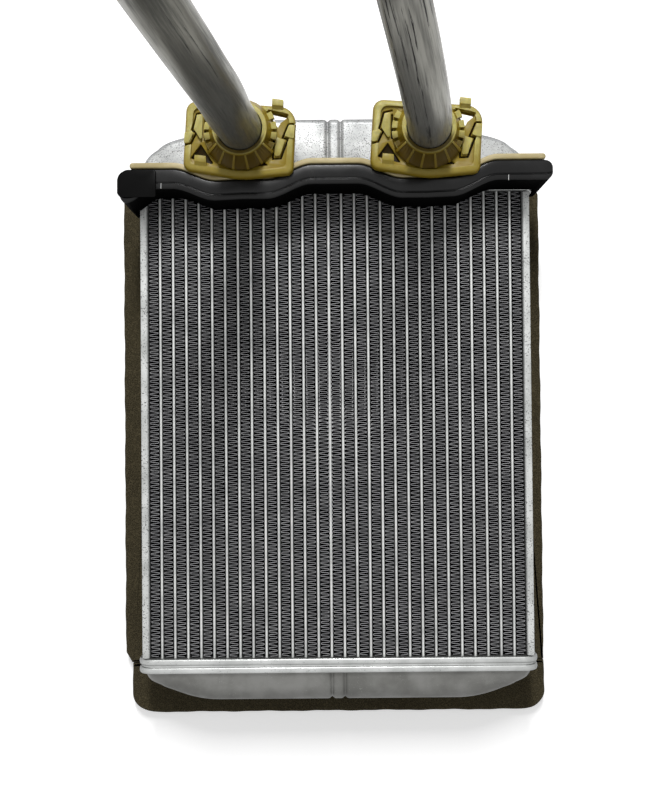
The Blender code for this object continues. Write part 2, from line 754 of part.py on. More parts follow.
def clip_ribs(name, x):
    """Gussets round the sleeve, as one object of separate wedges."""
    inner = SLEEVE_TOP_RADIUS - RIB_SINK
    foot, crown = CLIP_TOP - RIB_SINK, SLEEVE_CROWN - RIB_BELOW_CROWN
    wedge = [
        (inner, foot),
        (SLEEVE_RADIUS + RIB_REACH, foot),
        (SLEEVE_RADIUS + RIB_REACH, CLIP_TOP + RIB_EDGE),
        (SLEEVE_TOP_RADIUS + RIB_EDGE, crown),
        (inner, crown),
    ]
    half = RIB_WIDTH / 2
    ribs = []
    for index in range(RIB_COUNT):
        rib = outline_solid(f"{name}_rib_{index + 1}", [wedge], "Y", -half, half)
        turn = Matrix.Rotation(2 * math.pi * (index + 0.5) / RIB_COUNT, 4, "Z")
        rib.data.transform(rib.matrix_world)
        rib.matrix_world = Matrix.Translation((x, PORT_Y, 0.0)) @ turn
        ribs.append(rib)
    return join(ribs)


def clip_sleeve(name, x, bore):
    """Tapered sleeve round the pipe, filled up to just inside the bore."""
    core = bore - SLEEVE_EDGE
    foot = CLIP_BASE + SLEEVE_EDGE
    skirt = [
        (SLEEVE_TOP_RADIUS - SLEEVE_LIP, SLEEVE_CROWN),
        (SLEEVE_TOP_RADIUS, SLEEVE_CROWN - SLEEVE_EDGE),
        (SLEEVE_RADIUS, CLIP_TOP + SLEEVE_EDGE),
        (SLEEVE_RADIUS, foot),
        (core, foot),
        (core, SLEEVE_CROWN),
    ]
    return turned_solid(name, skirt, (x, PORT_Y, 0.0), 24)


def make_retainer_clip(name, x):
    """Moulded clip: latch frame, tapered ribbed sleeve and two raised stops."""
    clip = make_clip_frame(name, x)
    bore = PIPE_RADIUS + CLIP_BORE_CLEARANCE
    combine(clip, clip_sleeve(f"{name}_sleeve", x, bore), "UNION", "sleeve")
    combine(clip, clip_ribs(name, x), "UNION", "ribs")
    upper = [(13.9, 8.9), (18.6, 8.0), (19.2, 12.6), (14.4, 13.4)]
    lower = [(-20.4, -13.6), (-15.2, -14.6), (-14.9, -12.0), (-20.1, -11.0)]
    for label, corners in (("upper", upper), ("lower", lower)):
        loop = [(x + u * MM, PORT_Y + v * MM) for u, v in corners]
        low, high = CLIP_TOP - STOP_SINK, CLIP_TOP + STOP_RISE
        stop = outline_solid(f"{name}_{label}_stop", [loop], "Z", low, high)
        combine(clip, stop, "UNION", f"{label} stop")
    profile = [
        (0.0, SLEEVE_CROWN + CUT_OVERRUN),
        (bore, SLEEVE_CROWN + CUT_OVERRUN),
        (bore, CLIP_BASE - CUT_OVERRUN),
        (0.0, CLIP_BASE - CUT_OVERRUN),
    ]
    drill = turned_solid(f"{name}_bore", profile, (x, PORT_Y, 0.0), 24)
    combine(clip, drill, "DIFFERENCE", "bore")
    finish(name, clip, CLIP_PLASTIC)


def smooth_stretch(points, steps):
    """Points along a smooth curve through the inner points of a route."""
    stretch = []
    for index in range(1, len(points) - 2):
        a, b, c, d = points[index - 1 : index + 3]
        for step in range(steps):
            t = step / steps
            stretch.append(
                0.5
                * (
                    2 * b
                    + (c - a) * t
                    + (2 * a - 5 * b + 4 * c - d) * t**2
                    + (3 * b - a - 3 * c + d) * t**3
                )
            )
    stretch.append(points[-2])
    return stretch


def pipe_stations(x, route):
    """(place, radius) stations of a pipe, from its end in the collar to its hose end."""
    bulge = PIPE_RADIUS + BEAD_RISE
    high = COLLAR_TOP - BEAD_BELOW_COLLAR
    low = high - BEAD_LENGTH
    foot = [
        (COLLAR_TOP - PIPE_INSERT, PIPE_RADIUS),
        (low, PIPE_RADIUS),
        (low + BEAD_RAMP, bulge),
        (high - BEAD_RAMP, bulge),
        (high, PIPE_RADIUS),
    ]
    stations = [(Vector((x, PORT_Y, z)), radius) for z, radius in foot]
    crown = Vector((x, PORT_Y, SLEEVE_CROWN))
    guides = [crown - Vector((0.0, 0.0, PIPE_STRAIGHT)), crown]
    guides += [crown + Vector(point) * MM for point in route]
    stations += [(place, PIPE_RADIUS) for place in smooth_stretch(guides, 2)]
    start, end = guides[-2], guides[-1]
    along = (end - start).normalized()
    hose_end = [
        (HOSE_BEAD_SETBACK + HOSE_BEAD_NEAR_RAMP, PIPE_RADIUS),
        (HOSE_BEAD_SETBACK, PIPE_RADIUS + HOSE_BEAD_RISE),
        (HOSE_BEAD_SETBACK - HOSE_BEAD_FAR_RAMP, PIPE_RADIUS),
        (0.0, PIPE_RADIUS),
    ]
    stations += [(end - along * back, radius) for back, radius in hose_end]
    return stations


def make_pipe(name, x, route):
    """Bent hollow pipe: a bevelled curve with a wall drawn inwards."""
    stations = pipe_stations(x, route)
    data = bpy.data.curves.new(name, "CURVE")
    data.dimensions = "3D"
    data.bevel_depth = 1.0
    data.bevel_resolution = PIPE_SIDE_COUNT // 2 - 2
    data.twist_mode = "MINIMUM"
    spline = data.splines.new("POLY")
    spline.points.add(len(stations) - 1)
    for point, (place, radius) in zip(spline.points, stations):
        point.co = (*place, 1.0)
        point.radius = radius
    curve_object = bpy.data.objects.new(name, data)
    PARTS.objects.link(curve_object)
    pipe = mesh_from_curve(curve_object)
    wall = pipe.modifiers.new("Wall", "SOLIDIFY")
    wall.thickness = PIPE_WALL
    wall.offset = -1.0
    wall.use_even_offset = False
    finish(name, pipe, PIPE_ALUMINIUM)


def rim_wave(x):
    """How far the rim wall drops at x: a hollow under each port, and lower ends."""
    share = (abs(x) - PORT_X) / RIM_DIP_HALF
    hollow = RIM_DIP * max(0.0, 1.0 - share * share)
    return -hollow - RIM_END_DROP * min(1.0, max(0.0, share))


def rim_runs():
    """Places along X at which the wall's outline has a point."""
    start, step = PORT_X - RIM_DIP_HALF, 2 * RIM_DIP_HALF / RIM_DIP_STEPS
    right = [start + step * index for index in range(RIM_DIP_STEPS + 1)]
    return [-x for x in reversed(right)] + right


def make_rim_band(name, low, high, look):
    """Wavy band across the ports, with a leg down each side of the matrix."""
    level = RIM_Y + low
    crown = RIM_Y + high
    end_round = min(RIM_END_ROUND, (high - low) * RIM_END_ROUND_SHARE)
    below = [(x, level + rim_wave(x), 0) for x in rim_runs()]
    above = [(x, crown + rim_wave(x), 0) for x in reversed(rim_runs())]
    foot, head = level - RIM_END_DROP, crown - RIM_END_DROP
    corners = [(-RIM_HALF_WIDTH, foot, end_round)] + below
    corners += [(RIM_RIGHT_END, foot, end_round), (RIM_RIGHT_END, head, end_round)]
    corners += above + [(-RIM_HALF_WIDTH, head, end_round)]
    loop = rounded_outline(corners, 2)
    band = outline_solid(name, [loop], "Z", RIM_FRONT - RIM_LEG_DEPTH, RIM_FRONT)
    reach = HEADER_HALF + CLEARANCE
    block = [(-reach, RIM_Y - RIM_CUT_REACH), (reach, RIM_Y - RIM_CUT_REACH)]
    block += [(reach, RIM_Y + RIM_CUT_REACH), (-reach, RIM_Y + RIM_CUT_REACH)]
    span = (RIM_FRONT - RIM_LEG_DEPTH - CUT_OVERRUN, RIM_BASE)
    opening = outline_solid(f"{name}_opening", [block], "Z", *span)
    combine(band, opening, "DIFFERENCE", "room for the header")
    finish(name, band, look)


def make_seal_end_flap():
    """Strip that laps the seal's left end, folded from its front to its side."""
    outer = RIM_HALF_WIDTH + CLEARANCE + FLAP_THICKNESS
    inner = RIM_HALF_WIDTH + CLEARANCE
    front = RIM_FRONT + CLEARANCE
    leg_end = RIM_FRONT - RIM_LEG_DEPTH * FLAP_LEG_SHARE
    corners = [
        (-outer, leg_end, 0),
        (-inner, leg_end, 0),
        (-inner, front, 0),
        (-inner + FLAP_LENGTH, front, 0),
        (-inner + FLAP_LENGTH, front + FLAP_THICKNESS, 0),
        (-outer, front + FLAP_THICKNESS, FLAP_THICKNESS),
    ]
    low = RIM_Y - FLAP_DROP
    loop = rounded_outline(corners)
    flap = outline_solid("seal_end_flap", [loop], "Y", low, low + FLAP_WIDTH)
    finish("seal_end_flap", flap, SEAL_RUBBER)


def make_foam():
    """Foam frame glued to the back: two sides, a lower piece and an upper strip."""
    inner = SIDE_OUTER - FOAM_LAP
    split = -(HEADER_END + FOAM_SIDE_PAST_HEADER)
    side_top = RIM_Y - CLEARANCE
    crown = RIM_Y + FOAM_SIDE_PAST_RIM
    sides = (
        ("foam_left", -1, SIDE_OUTER + FOAM_LEFT_OVERHANG),
        ("foam_right", 1, SIDE_OUTER + FOAM_RIGHT_OVERHANG),
    )
    for name, side, outer in sides:
        corners = [(side * inner, split, 0), (side * outer, split, FOAM_CUT_CORNER)]
        corners += [(side * outer, crown, FOAM_CUT_CORNER), (side * inner, crown, 0)]
        strip = outline_solid(name, [rounded_outline(corners)], "Z", 0.0, FOAM_THICKNESS)
        finish(name, strip, FOAM_OLIVE)
    outer = SIDE_OUTER + FOAM_RIGHT_OVERHANG
    tongue = inner - CLEARANCE
    low = -(TANK_LIP + BOTTOM_TANK_HEIGHT + FOAM_LOWER_OVERHANG)
    high = split - CLEARANCE
    corners = [
        (-outer, low + FOAM_CORNER_RISE, FOAM_CORNER_ROUND),
        (FOAM_CORNER_RUN - outer, low, FOAM_CORNER),
        (outer - FOAM_CORNER_RUN, low, FOAM_CORNER),
        (outer, low + FOAM_CORNER_RISE, FOAM_CORNER_ROUND),
        (outer, high, 0),
        (tongue, high, 0),
        (tongue, high + FOAM_LOWER_TONGUE, 0),
        (-tongue, high + FOAM_LOWER_TONGUE, 0),
        (-tongue, high, 0),
        (-outer, high, 0),
    ]
    lower = outline_solid("foam_bottom", [rounded_outline(corners)], "Z", 0.0, FOAM_THICKNESS)
    finish("foam_bottom", lower, FOAM_OLIVE)
    half = FOAM_TOP_HEIGHT / 2
    strip = rounded_rectangle(tongue, half, FOAM_CUT_CORNER, side_top + half)
    upper = outline_solid("foam_top", [strip], "Z", 0.0, FOAM_THICKNESS)
    finish("foam_top", upper, FOAM_OLIVE)


def smooth_round_pieces():
    """Shade the round pieces smooth between edges that turn sharply."""
    for name in ("pipe", "port_collar", "o_ring"):
        for label in ("left", "right"):
            mesh = bpy.data.objects[f"{name}_{label}"].data
            mesh.shade_smooth()
            mesh.set_sharp_from_angle(angle=math.radians(40))


def centre_footprint():
    """Move the root so that the middle of the part's box is over the origin."""
    bpy.context.view_layer.update()
    depsgraph = bpy.context.evaluated_depsgraph_get()
    places = []
    for obj in PARTS.objects:
        if obj.type == "MESH":
            solid = obj.evaluated_get(depsgraph)
            places += [solid.matrix_world @ Vector(corner) for corner in solid.bound_box]
    for axis in (0, 1):
        values = [place[axis] for place in places]
        ROOT.location[axis] = -(min(values) + max(values)) / 2
    bpy.context.view_layer.update()


def main():
    """Model every piece."""
    make_tube_bank()
    make_top_header()
    make_fins()
    make_side_plates()
    make_bottom_tank()
    make_top_tank()
    make_tank_divider()
    for label, x in (("left", -PORT_X), ("right", PORT_X)):
        make_port_collar(f"port_collar_{label}", x)
        make_o_ring(f"o_ring_{label}", x)
        make_retainer_clip(f"retainer_clip_{label}", x)
    make_pipe("pipe_left", -PORT_X, PIPE_LEFT_ROUTE)
    make_pipe("pipe_right", PORT_X, PIPE_RIGHT_ROUTE)
    make_rim_band("rim_seal", 0.0, SEAL_WIDTH, SEAL_RUBBER)
    carrier_low = SEAL_WIDTH + CLEARANCE
    make_rim_band("seal_carrier", carrier_low, carrier_low + CARRIER_WIDTH, CARRIER_PLASTIC)
    make_seal_end_flap()
    make_foam()
    smooth_round_pieces()
    centre_footprint()


main()
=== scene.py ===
"""Looks of a brazed heater core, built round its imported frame.

The core lies on its foam with its front face up. Sizes in the classes are in
millimetres, measured from the middle of the matrix and from the underside of the foam.
"""

import logging
import math
import random
from dataclasses import dataclass
from enum import Enum
from typing import Iterable, Optional, Sequence

import bmesh
import bpy
from mathutils import Matrix, Vector


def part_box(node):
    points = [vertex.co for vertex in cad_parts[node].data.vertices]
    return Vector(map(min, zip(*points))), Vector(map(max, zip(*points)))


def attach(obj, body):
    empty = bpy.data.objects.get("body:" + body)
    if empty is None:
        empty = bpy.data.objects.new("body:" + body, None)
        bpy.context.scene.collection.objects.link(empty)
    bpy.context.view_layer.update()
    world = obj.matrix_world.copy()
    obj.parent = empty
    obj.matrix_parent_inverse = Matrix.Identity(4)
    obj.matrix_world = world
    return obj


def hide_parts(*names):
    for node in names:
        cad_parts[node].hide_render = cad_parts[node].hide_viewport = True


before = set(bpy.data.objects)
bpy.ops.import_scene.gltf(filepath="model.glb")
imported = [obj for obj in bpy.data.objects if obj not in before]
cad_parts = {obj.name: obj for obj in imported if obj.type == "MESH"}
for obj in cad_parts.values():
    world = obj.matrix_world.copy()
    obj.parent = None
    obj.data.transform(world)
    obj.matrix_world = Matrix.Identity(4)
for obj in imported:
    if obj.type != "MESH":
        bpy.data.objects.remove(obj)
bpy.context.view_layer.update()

LOG = logging.getLogger("heater_core")
MM = 0.001
QUARTER = math.pi / 2
BODY = "root"
PIPE_PLACE = "place_on_pipe"

Point = tuple[float, float]
Band = tuple[float, float]
# Width of a blotch in millimetres, octaves, and for streaks roughness and pace along Z.
Grain = tuple[float, ...]
Corner = tuple[float, float, float]
Colour = tuple[float, float, float]
Socket = bpy.types.NodeSocket
Material = bpy.types.Material
Piece = bpy.types.Object
Shape = bmesh.types.BMesh


class Hand(Enum):
    """Left or right of the core, as a sign along X."""

    LEFT = -1
    RIGHT = 1


class End(Enum):
    """Lower or upper end of the matrix, as a sign along Y."""

    LOWER = -1
    UPPER = 1


class Slot(Enum):
    """Material slots of the record."""

    MATRIX = "matrix"
    FIN = "fin"
    TANK = "tank"
    PIPE = "pipe"
    CLIP = "clip"
    CARRIER = "carrier"
    SEAL = "seal"
    FOAM = "foam"


@dataclass(frozen=True)
class Datum:
    """Where the middle of the matrix lies in the frame, in millimetres."""

    x: float
    y: float

    @classmethod
    def from_frame(cls, tube_end: float = 110.5) -> "Datum":
        """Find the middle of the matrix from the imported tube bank.

        Args:
            tube_end: distance from the middle to the upper ends of the tubes.

        Returns:
            The datum.
        """
        low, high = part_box("tube_bank")
        return cls((low[0] + high[0]) / 2 / MM, high[1] / MM - tube_end)

    def place(self, x: float, y: float, z: float) -> Vector:
        """Frame position, in metres, of a point of the core."""
        return Vector((x + self.x, y + self.y, z)) * MM


DATUM = Datum.from_frame()


# Shapes


def add_object(name: str, data: bpy.types.ID) -> Piece:
    """Put a mesh, a lamp or a camera in the scene."""
    piece = bpy.data.objects.new(name, data)
    bpy.context.scene.collection.objects.link(piece)
    return piece


def shade(mesh: bpy.types.Mesh, sharp: float) -> None:
    """Shade a mesh smooth, but for edges that turn by more than an angle."""
    mesh.shade_smooth()
    mesh.set_sharp_from_angle(angle=math.radians(sharp))


def piece_from(shape: Shape, name: str, sharp: float = 40.0) -> Piece:
    """Turn a worked shape into a smooth-shaded piece.

    Args:
        shape: the shape, which is freed.
        name: the piece's name.
        sharp: edges that turn by more than this angle stay sharp.

    Returns:
        The new piece.
    """
    bmesh.ops.recalc_face_normals(shape, faces=shape.faces)
    mesh = bpy.data.meshes.new(name)
    shape.to_mesh(mesh)
    shape.free()
    shade(mesh, sharp)
    return add_object(name, mesh)


def loft(rings: Sequence[Sequence[Vector]], closed: bool = False) -> Shape:
    """Skin closed rings that all have the same number of points.

    Args:
        rings: the rings in order.
        closed: join the last ring to the first, instead of a face on each of them.

    Returns:
        The skinned shape.
    """
    shape = bmesh.new()
    grid = [[shape.verts.new(point) for point in ring] for ring in rings]
    for before, after in zip(grid, grid[1:] + grid[:1] if closed else grid[1:]):
        for index in range(len(before)):
            following = (index + 1) % len(before)
            shape.faces.new((before[index], before[following], after[following], after[index]))
    if not closed:
        shape.faces.new(grid[0][::-1])
        shape.faces.new(grid[-1])
    return shape


def prism(loop: Sequence[Point], low: float, high: float) -> Shape:
    """Upright solid on an outline."""
    return loft([[DATUM.place(u, v, level) for u, v in loop] for level in (low, high)])


def merged(parts: Iterable[Shape], name: str, sharp: float = 40.0) -> Piece:
    """One piece from several solids, which are freed."""
    whole = bmesh.new()
    for part in parts:
        mesh = bpy.data.meshes.new(name)
        part.to_mesh(mesh)
        part.free()
        whole.from_mesh(mesh)
        bpy.data.meshes.remove(mesh)
    return piece_from(whole, name, sharp)


def rounded_loop(corners: Iterable[Corner], steps: int = 5) -> list[Point]:
    """Closed outline through corners, each rounded by its own radius.

    Args:
        corners: (u, v, radius) in order round the outline.
        steps: chords of each rounded corner.

    Returns:
        Points of the outline.
    """
    known = list(corners)
    loop: list[Point] = []
    for index, (u, v, radius) in enumerate(known):
        here = Vector((u, v))
        before = (Vector(known[index - 1][:2]) - here).normalized()
        after = (Vector(known[(index + 1) % len(known)][:2]) - here).normalized()
        half = before.angle(after) / 2
        centre = here + (before + after).normalized() * radius / math.sin(half)
        start = here + before * radius / math.tan(half) - centre
        sweep = (here + after * radius / math.tan(half) - centre).angle_signed(start)
        for step in range(steps + 1):
            loop.append(tuple(centre + Matrix.Rotation(sweep * step / steps, 2) @ start))
    return loop


def rounded_box_loop(half_u: float, half_v: float, radius: float, steps: int = 5) -> list[Point]:
    """Rectangle with rounded corners about the origin."""
    corners = ((-half_u, -half_v), (half_u, -half_v), (half_u, half_v), (-half_u, half_v))
    return rounded_loop([(*corner, radius) for corner in corners], steps)


def quarter(steps: int) -> list[Point]:
    """(sine, cosine) pairs over a quarter turn."""
    turns = [QUARTER * step / steps for step in range(steps + 1)]
    return [(math.sin(turn), math.cos(turn)) for turn in turns]


def evenly(loop: Sequence[Point], step: float) -> list[Point]:
    """Closed outline, anticlockwise, with no two points further apart than a step."""
    area = sum(a[0] * b[1] - b[0] * a[1] for a, b in zip(loop, [*loop[1:], loop[0]]))
    course = list(loop) if area > 0 else list(loop)[::-1]
    points = []
    for start, end in zip(course, course[1:] + course[:1]):
        parts = max(1, math.ceil(math.dist(start, end) / step))
        for part in range(parts):
            points.append(tuple(Vector(start).lerp(Vector(end), part / parts)))
    return points


def band_loop(line: Sequence[Point], width: float, least_lean: float = 0.5) -> list[Point]:
    """Outline of a narrow band along a bent line.

    Args:
        line: the band's middle.
        width: the band's width.
        least_lean: limit on how far a sharp bend's corner reaches out.

    Returns:
        Points of the outline.
    """
    left: list[Point] = []
    right: list[Point] = []
    runs = [(Vector(after) - Vector(before)).normalized() for before, after in zip(line, line[1:])]
    for point, back, ahead in zip(line, runs[:1] + runs, runs + runs[-1:]):
        along = (back + ahead).normalized()
        across = Vector((-along.y, along.x))
        lean = max(across.dot(Vector((-ahead.y, ahead.x))), least_lean)
        offset = across * width / 2 / lean
        left.append(tuple(Vector(point) + offset))
        right.append(tuple(Vector(point) - offset))
    return left + right[::-1]


def turned(profile: Sequence[Point], centre: Vector, steps: int) -> Shape:
    """Ring turned about an upright axis.

    Args:
        profile: closed (radius, height) outline in millimetres.
        centre: a point of the axis, at height 0.
        steps: sides of the ring.

    Returns:
        The ring.
    """
    rings = []
    for step in range(steps):
        turn = 2 * math.pi * step / steps
        flat = [(radius * math.cos(turn), radius * math.sin(turn), level) for radius, level in profile]
        rings.append([centre + Vector(point) * MM for point in flat])
    return loft(rings, closed=True)


def settle(piece: Piece, sharp: float = 35.0) -> None:
    """Apply a piece's modifiers and shade it."""
    bpy.context.view_layer.update()
    found = piece.evaluated_get(bpy.context.evaluated_depsgraph_get())
    mesh = bpy.data.meshes.new_from_object(found)
    piece.modifiers.clear()
    old = piece.data
    piece.data = mesh
    bpy.data.meshes.remove(old)
    shade(mesh, sharp)


def carve(piece: Piece, tool: Shape, operation: str) -> None:
    """Combine a piece with a tool solid and drop the tool."""
    solid = piece_from(tool, "tool")
    modifier = piece.modifiers.new("Carve", "BOOLEAN")
    modifier.operation = operation
    modifier.object = solid
    modifier.solver = "EXACT"
    settle(piece)
    bpy.data.meshes.remove(solid.data)


def soften(piece: Piece, width: float, segments: int, angle: float) -> None:
    """Round a piece's edges that turn by more than an angle, by a width in millimetres."""
    modifier = piece.modifiers.new("Soften", "BEVEL")
    modifier.width = width * MM
    modifier.segments = segments
    modifier.limit_method = "ANGLE"
    modifier.angle_limit = math.radians(angle)
    settle(piece)


# Finishes


def dimmed(colour: Colour, share: float) -> Colour:
    """A colour times a share."""
    return tuple(share * part for part in colour)


class Bench:
    """Wires the nodes of one material."""

    def __init__(self, name: str) -> None:
        """Start a material with a Principled shader on its output."""
        self.material = bpy.data.materials.new(name)
        self.material.use_nodes = True
        self.tree = self.material.node_tree
        self.shader = self.tree.nodes["Principled BSDF"]
        self.place = self.node("TexCoord").outputs["Object"]

    def node(self, kind: str, **settings: str) -> bpy.types.Node:
        """New shader node with its settings."""
        node = self.tree.nodes.new(f"ShaderNode{kind}")
        for key, value in settings.items():
            setattr(node, key, value)
        return node

    def plug(self, target: Socket, value: Socket | Colour | float) -> None:
        """Link a socket to a target, or set the target to a constant."""
        if isinstance(value, Socket):
            self.tree.links.new(value, target)
        elif target.type == "RGBA":
            target.default_value = (*value, 1.0)
        else:
            target.default_value = value

    def dress(self, name: str, value: Socket | Colour | float) -> None:
        """Give one input of the Principled shader a socket or a constant."""
        self.plug(self.shader.inputs[name], value)

    def noise(
        self, size: float, detail: float, roughness: float = 0.55, along: float = 1.0
    ) -> Socket:
        """Noise whose blotches are about a size in millimetres.

        Args:
            size: width of a blotch.
            detail: octaves.
            roughness: weight of the finer octaves.
            along: share of the noise's pace that is left along Z, for streaks.

        Returns:
            The noise's value socket.
        """
        node = self.node("TexNoise")
        self.plug(node.inputs["Scale"], 1.0 / (size * MM))
        self.plug(node.inputs["Detail"], detail)
        self.plug(node.inputs["Roughness"], roughness)
        vector = self.place
        if along < 1.0:
            mapping = self.node("Mapping")
            self.plug(mapping.inputs["Scale"], (1.0, 1.0, along))
            self.plug(mapping.inputs["Vector"], vector)
            vector = mapping.outputs["Vector"]
        self.plug(node.inputs["Vector"], vector)
        return node.outputs["Fac"]

    def ramp(self, value: Socket, band: Band, unit: float = 1.0) -> Socket:
        """0 at the band's start, 1 at its end, and a smooth step between them."""
        node = self.node("MapRange", interpolation_type="SMOOTHSTEP")
        self.plug(node.inputs["From Min"], band[0] * unit)
        self.plug(node.inputs["From Max"], band[1] * unit)
        self.plug(node.inputs["Value"], value)
        return node.outputs["Result"]

    def spread(self, value: Socket, band: Band) -> Socket:
        """A 0 to 1 value mapped to the range between the band's ends."""
        node = self.node("MapRange")
        self.plug(node.inputs["To Min"], band[0])
        self.plug(node.inputs["To Max"], band[1])
        self.plug(node.inputs["Value"], value)
        return node.outputs["Result"]

    def math(self, kind: str, first: Socket, second: Socket | float = 0.0) -> Socket:
        """Math operation on a value and another value or a number."""
        node = self.node("Math", operation=kind)
        self.plug(node.inputs[0], first)
        self.plug(node.inputs[1], second)
        return node.outputs[0]

    def times(self, first: Socket, second: Socket | float) -> Socket:
        """Product of a value and another value or a number."""
        return self.math("MULTIPLY", first, second)

    def mix(self, share: Socket, first: Socket | Colour, second: Socket | Colour) -> Socket:
        """Colour between two colours: the first at 0 and the second at 1."""
        node = self.node("Mix", data_type="RGBA")
        colours = [found for found in node.inputs if found.type == "RGBA"]
        self.plug(node.inputs["Factor"], share)
        self.plug(colours[0], first)
        self.plug(colours[1], second)
        return next(found for found in node.outputs if found.type == "RGBA")

    def axes(self, vector: Socket) -> bpy.types.bpy_prop_collection:
        """X, Y and Z of a vector."""
        node = self.node("SeparateXYZ")
        self.plug(node.inputs[0], vector)
        return node.outputs

    def facing_up(self) -> Socket:
        """1 where the surface faces up and 0 where it is upright."""
        return self.axes(self.node("NewGeometry").outputs["Normal"])["Z"]

    def relief(self, value: Socket, depth: float, strength: float, edge: float = 0.0) -> None:
        """Bump the surface, and round its edges to a radius.

        Args:
            value: height of the relief, 0 to 1.
            depth: depth of the relief in millimetres.
            strength: strength of the bump.
            edge: radius of the rounded edges in millimetres, or 0 for none.
        """
        bump = self.node("Bump")
        self.plug(bump.inputs["Strength"], strength)
        self.plug(bump.inputs["Distance"], depth * MM)
        self.plug(bump.inputs["Height"], value)
        if edge > 0:
            rounding = self.node("Bevel")
            rounding.samples = 4
            self.plug(rounding.inputs["Radius"], edge * MM)
            self.plug(bump.inputs["Normal"], rounding.outputs["Normal"])
        self.dress("Normal", bump.outputs["Normal"])


@dataclass(frozen=True)
class BrazedMetal:
    """Brazed or cast aluminium with smears, flecks and a fine grain, and painted shade on faces that
    do not face up.
    """

    name: str
    light: Colour
    dark: Colour
    fleck: Colour
    fleck_size: float = 0.7
    fleck_from: float = 0.7846
    fleck_run: float = 0.075
    patch: float = 8.4
    patch_weight: float = 0.25
    smear: float = 14.0
    smear_band: Band = (0.32, 0.7)
    upward_band: Band = (0.3, 0.97)
    roughness: float = 0.42
    smoother: float = 0.08
    rougher: float = 0.16
    worn_weight: float = 0.6
    metallic: float = 0.75
    grain: float = 0.03
    grain_size: float = 0.25
    grain_weight: float = 0.5
    fleck_rise: float = 0.8
    strength: float = 0.7
    edge: float = 0.25
    # Share of the dark colour painted on faces that do not face up, as painted shade.
    flank_shade: float = 0.6

    def material(self) -> Material:
        """Build the material."""
        bench = Bench(self.name)
        upward = bench.ramp(bench.facing_up(), self.upward_band)
        smear = bench.ramp(bench.noise(self.smear, 4.0), self.smear_band)
        fleck = bench.noise(self.fleck_size, 2.0)
        patch = bench.times(bench.noise(self.patch, 2.0), self.patch_weight)
        band = (self.fleck_from, self.fleck_from + self.fleck_run)
        spots = bench.ramp(bench.math("ADD", fleck, patch), band)
        base = bench.mix(smear, self.light, self.dark)
        # Painted shade: faces that turn away from up take a dimmed dark colour.
        base = bench.mix(upward, dimmed(self.dark, self.flank_shade), base)
        bench.dress("Base Color", bench.mix(spots, base, self.fleck))
        bench.dress("Metallic", self.metallic)
        worn = bench.times(bench.math("ADD", smear, spots), self.worn_weight)
        band = (self.roughness - self.smoother, self.roughness + self.rougher)
        bench.dress("Roughness", bench.spread(worn, band))
        grain = bench.times(bench.noise(self.grain_size, 3.0), self.grain_weight)
        grain = bench.math("ADD", grain, bench.times(fleck, self.fleck_rise))
        bench.relief(grain, self.grain, self.strength, self.edge)
        return bench.material


@dataclass(frozen=True)
class DrawnPipe:
    """Drawn aluminium pipe with draw lines, scuffs and a few deep scratches."""

    name: str
    light: Colour
    dark: Colour
    scratch: Colour
    score_from: float
    score_run: float = 0.05
    fine: Grain = (0.8, 4.0, 0.65, 0.05)
    broad: Grain = (6.0, 3.0, 0.55, 0.12)
    score: Grain = (2.0, 5.0, 0.7, 0.035)
    streak_band: Band = (0.42, 0.7)
    fine_weight: float = 0.5
    broad_weight: float = 0.6
    roughness: Band = (0.28, 0.52)
    metallic: float = 0.7
    fine_rise: float = 0.3
    depth: float = 0.05
    strength: float = 0.6

    def material(self) -> Material:
        """Build the material."""
        bench = Bench(self.name)
        bench.place = bench.node("Attribute", attribute_name=PIPE_PLACE).outputs["Vector"]
        fine = bench.noise(*self.fine)
        broad = bench.times(bench.noise(*self.broad), self.broad_weight)
        score = bench.noise(*self.score)
        drawn = bench.math("ADD", bench.times(fine, self.fine_weight), broad)
        streak = bench.ramp(drawn, self.streak_band)
        scored = bench.ramp(score, (self.score_from, self.score_from + self.score_run))
        base = bench.mix(streak, self.light, self.dark)
        bench.dress("Base Color", bench.mix(scored, base, self.scratch))
        bench.dress("Metallic", self.metallic)
        bench.dress("Roughness", bench.spread(streak, self.roughness))
        height = bench.math("SUBTRACT", bench.times(fine, self.fine_rise), scored)
        bench.relief(height, self.depth, self.strength)
        return bench.material


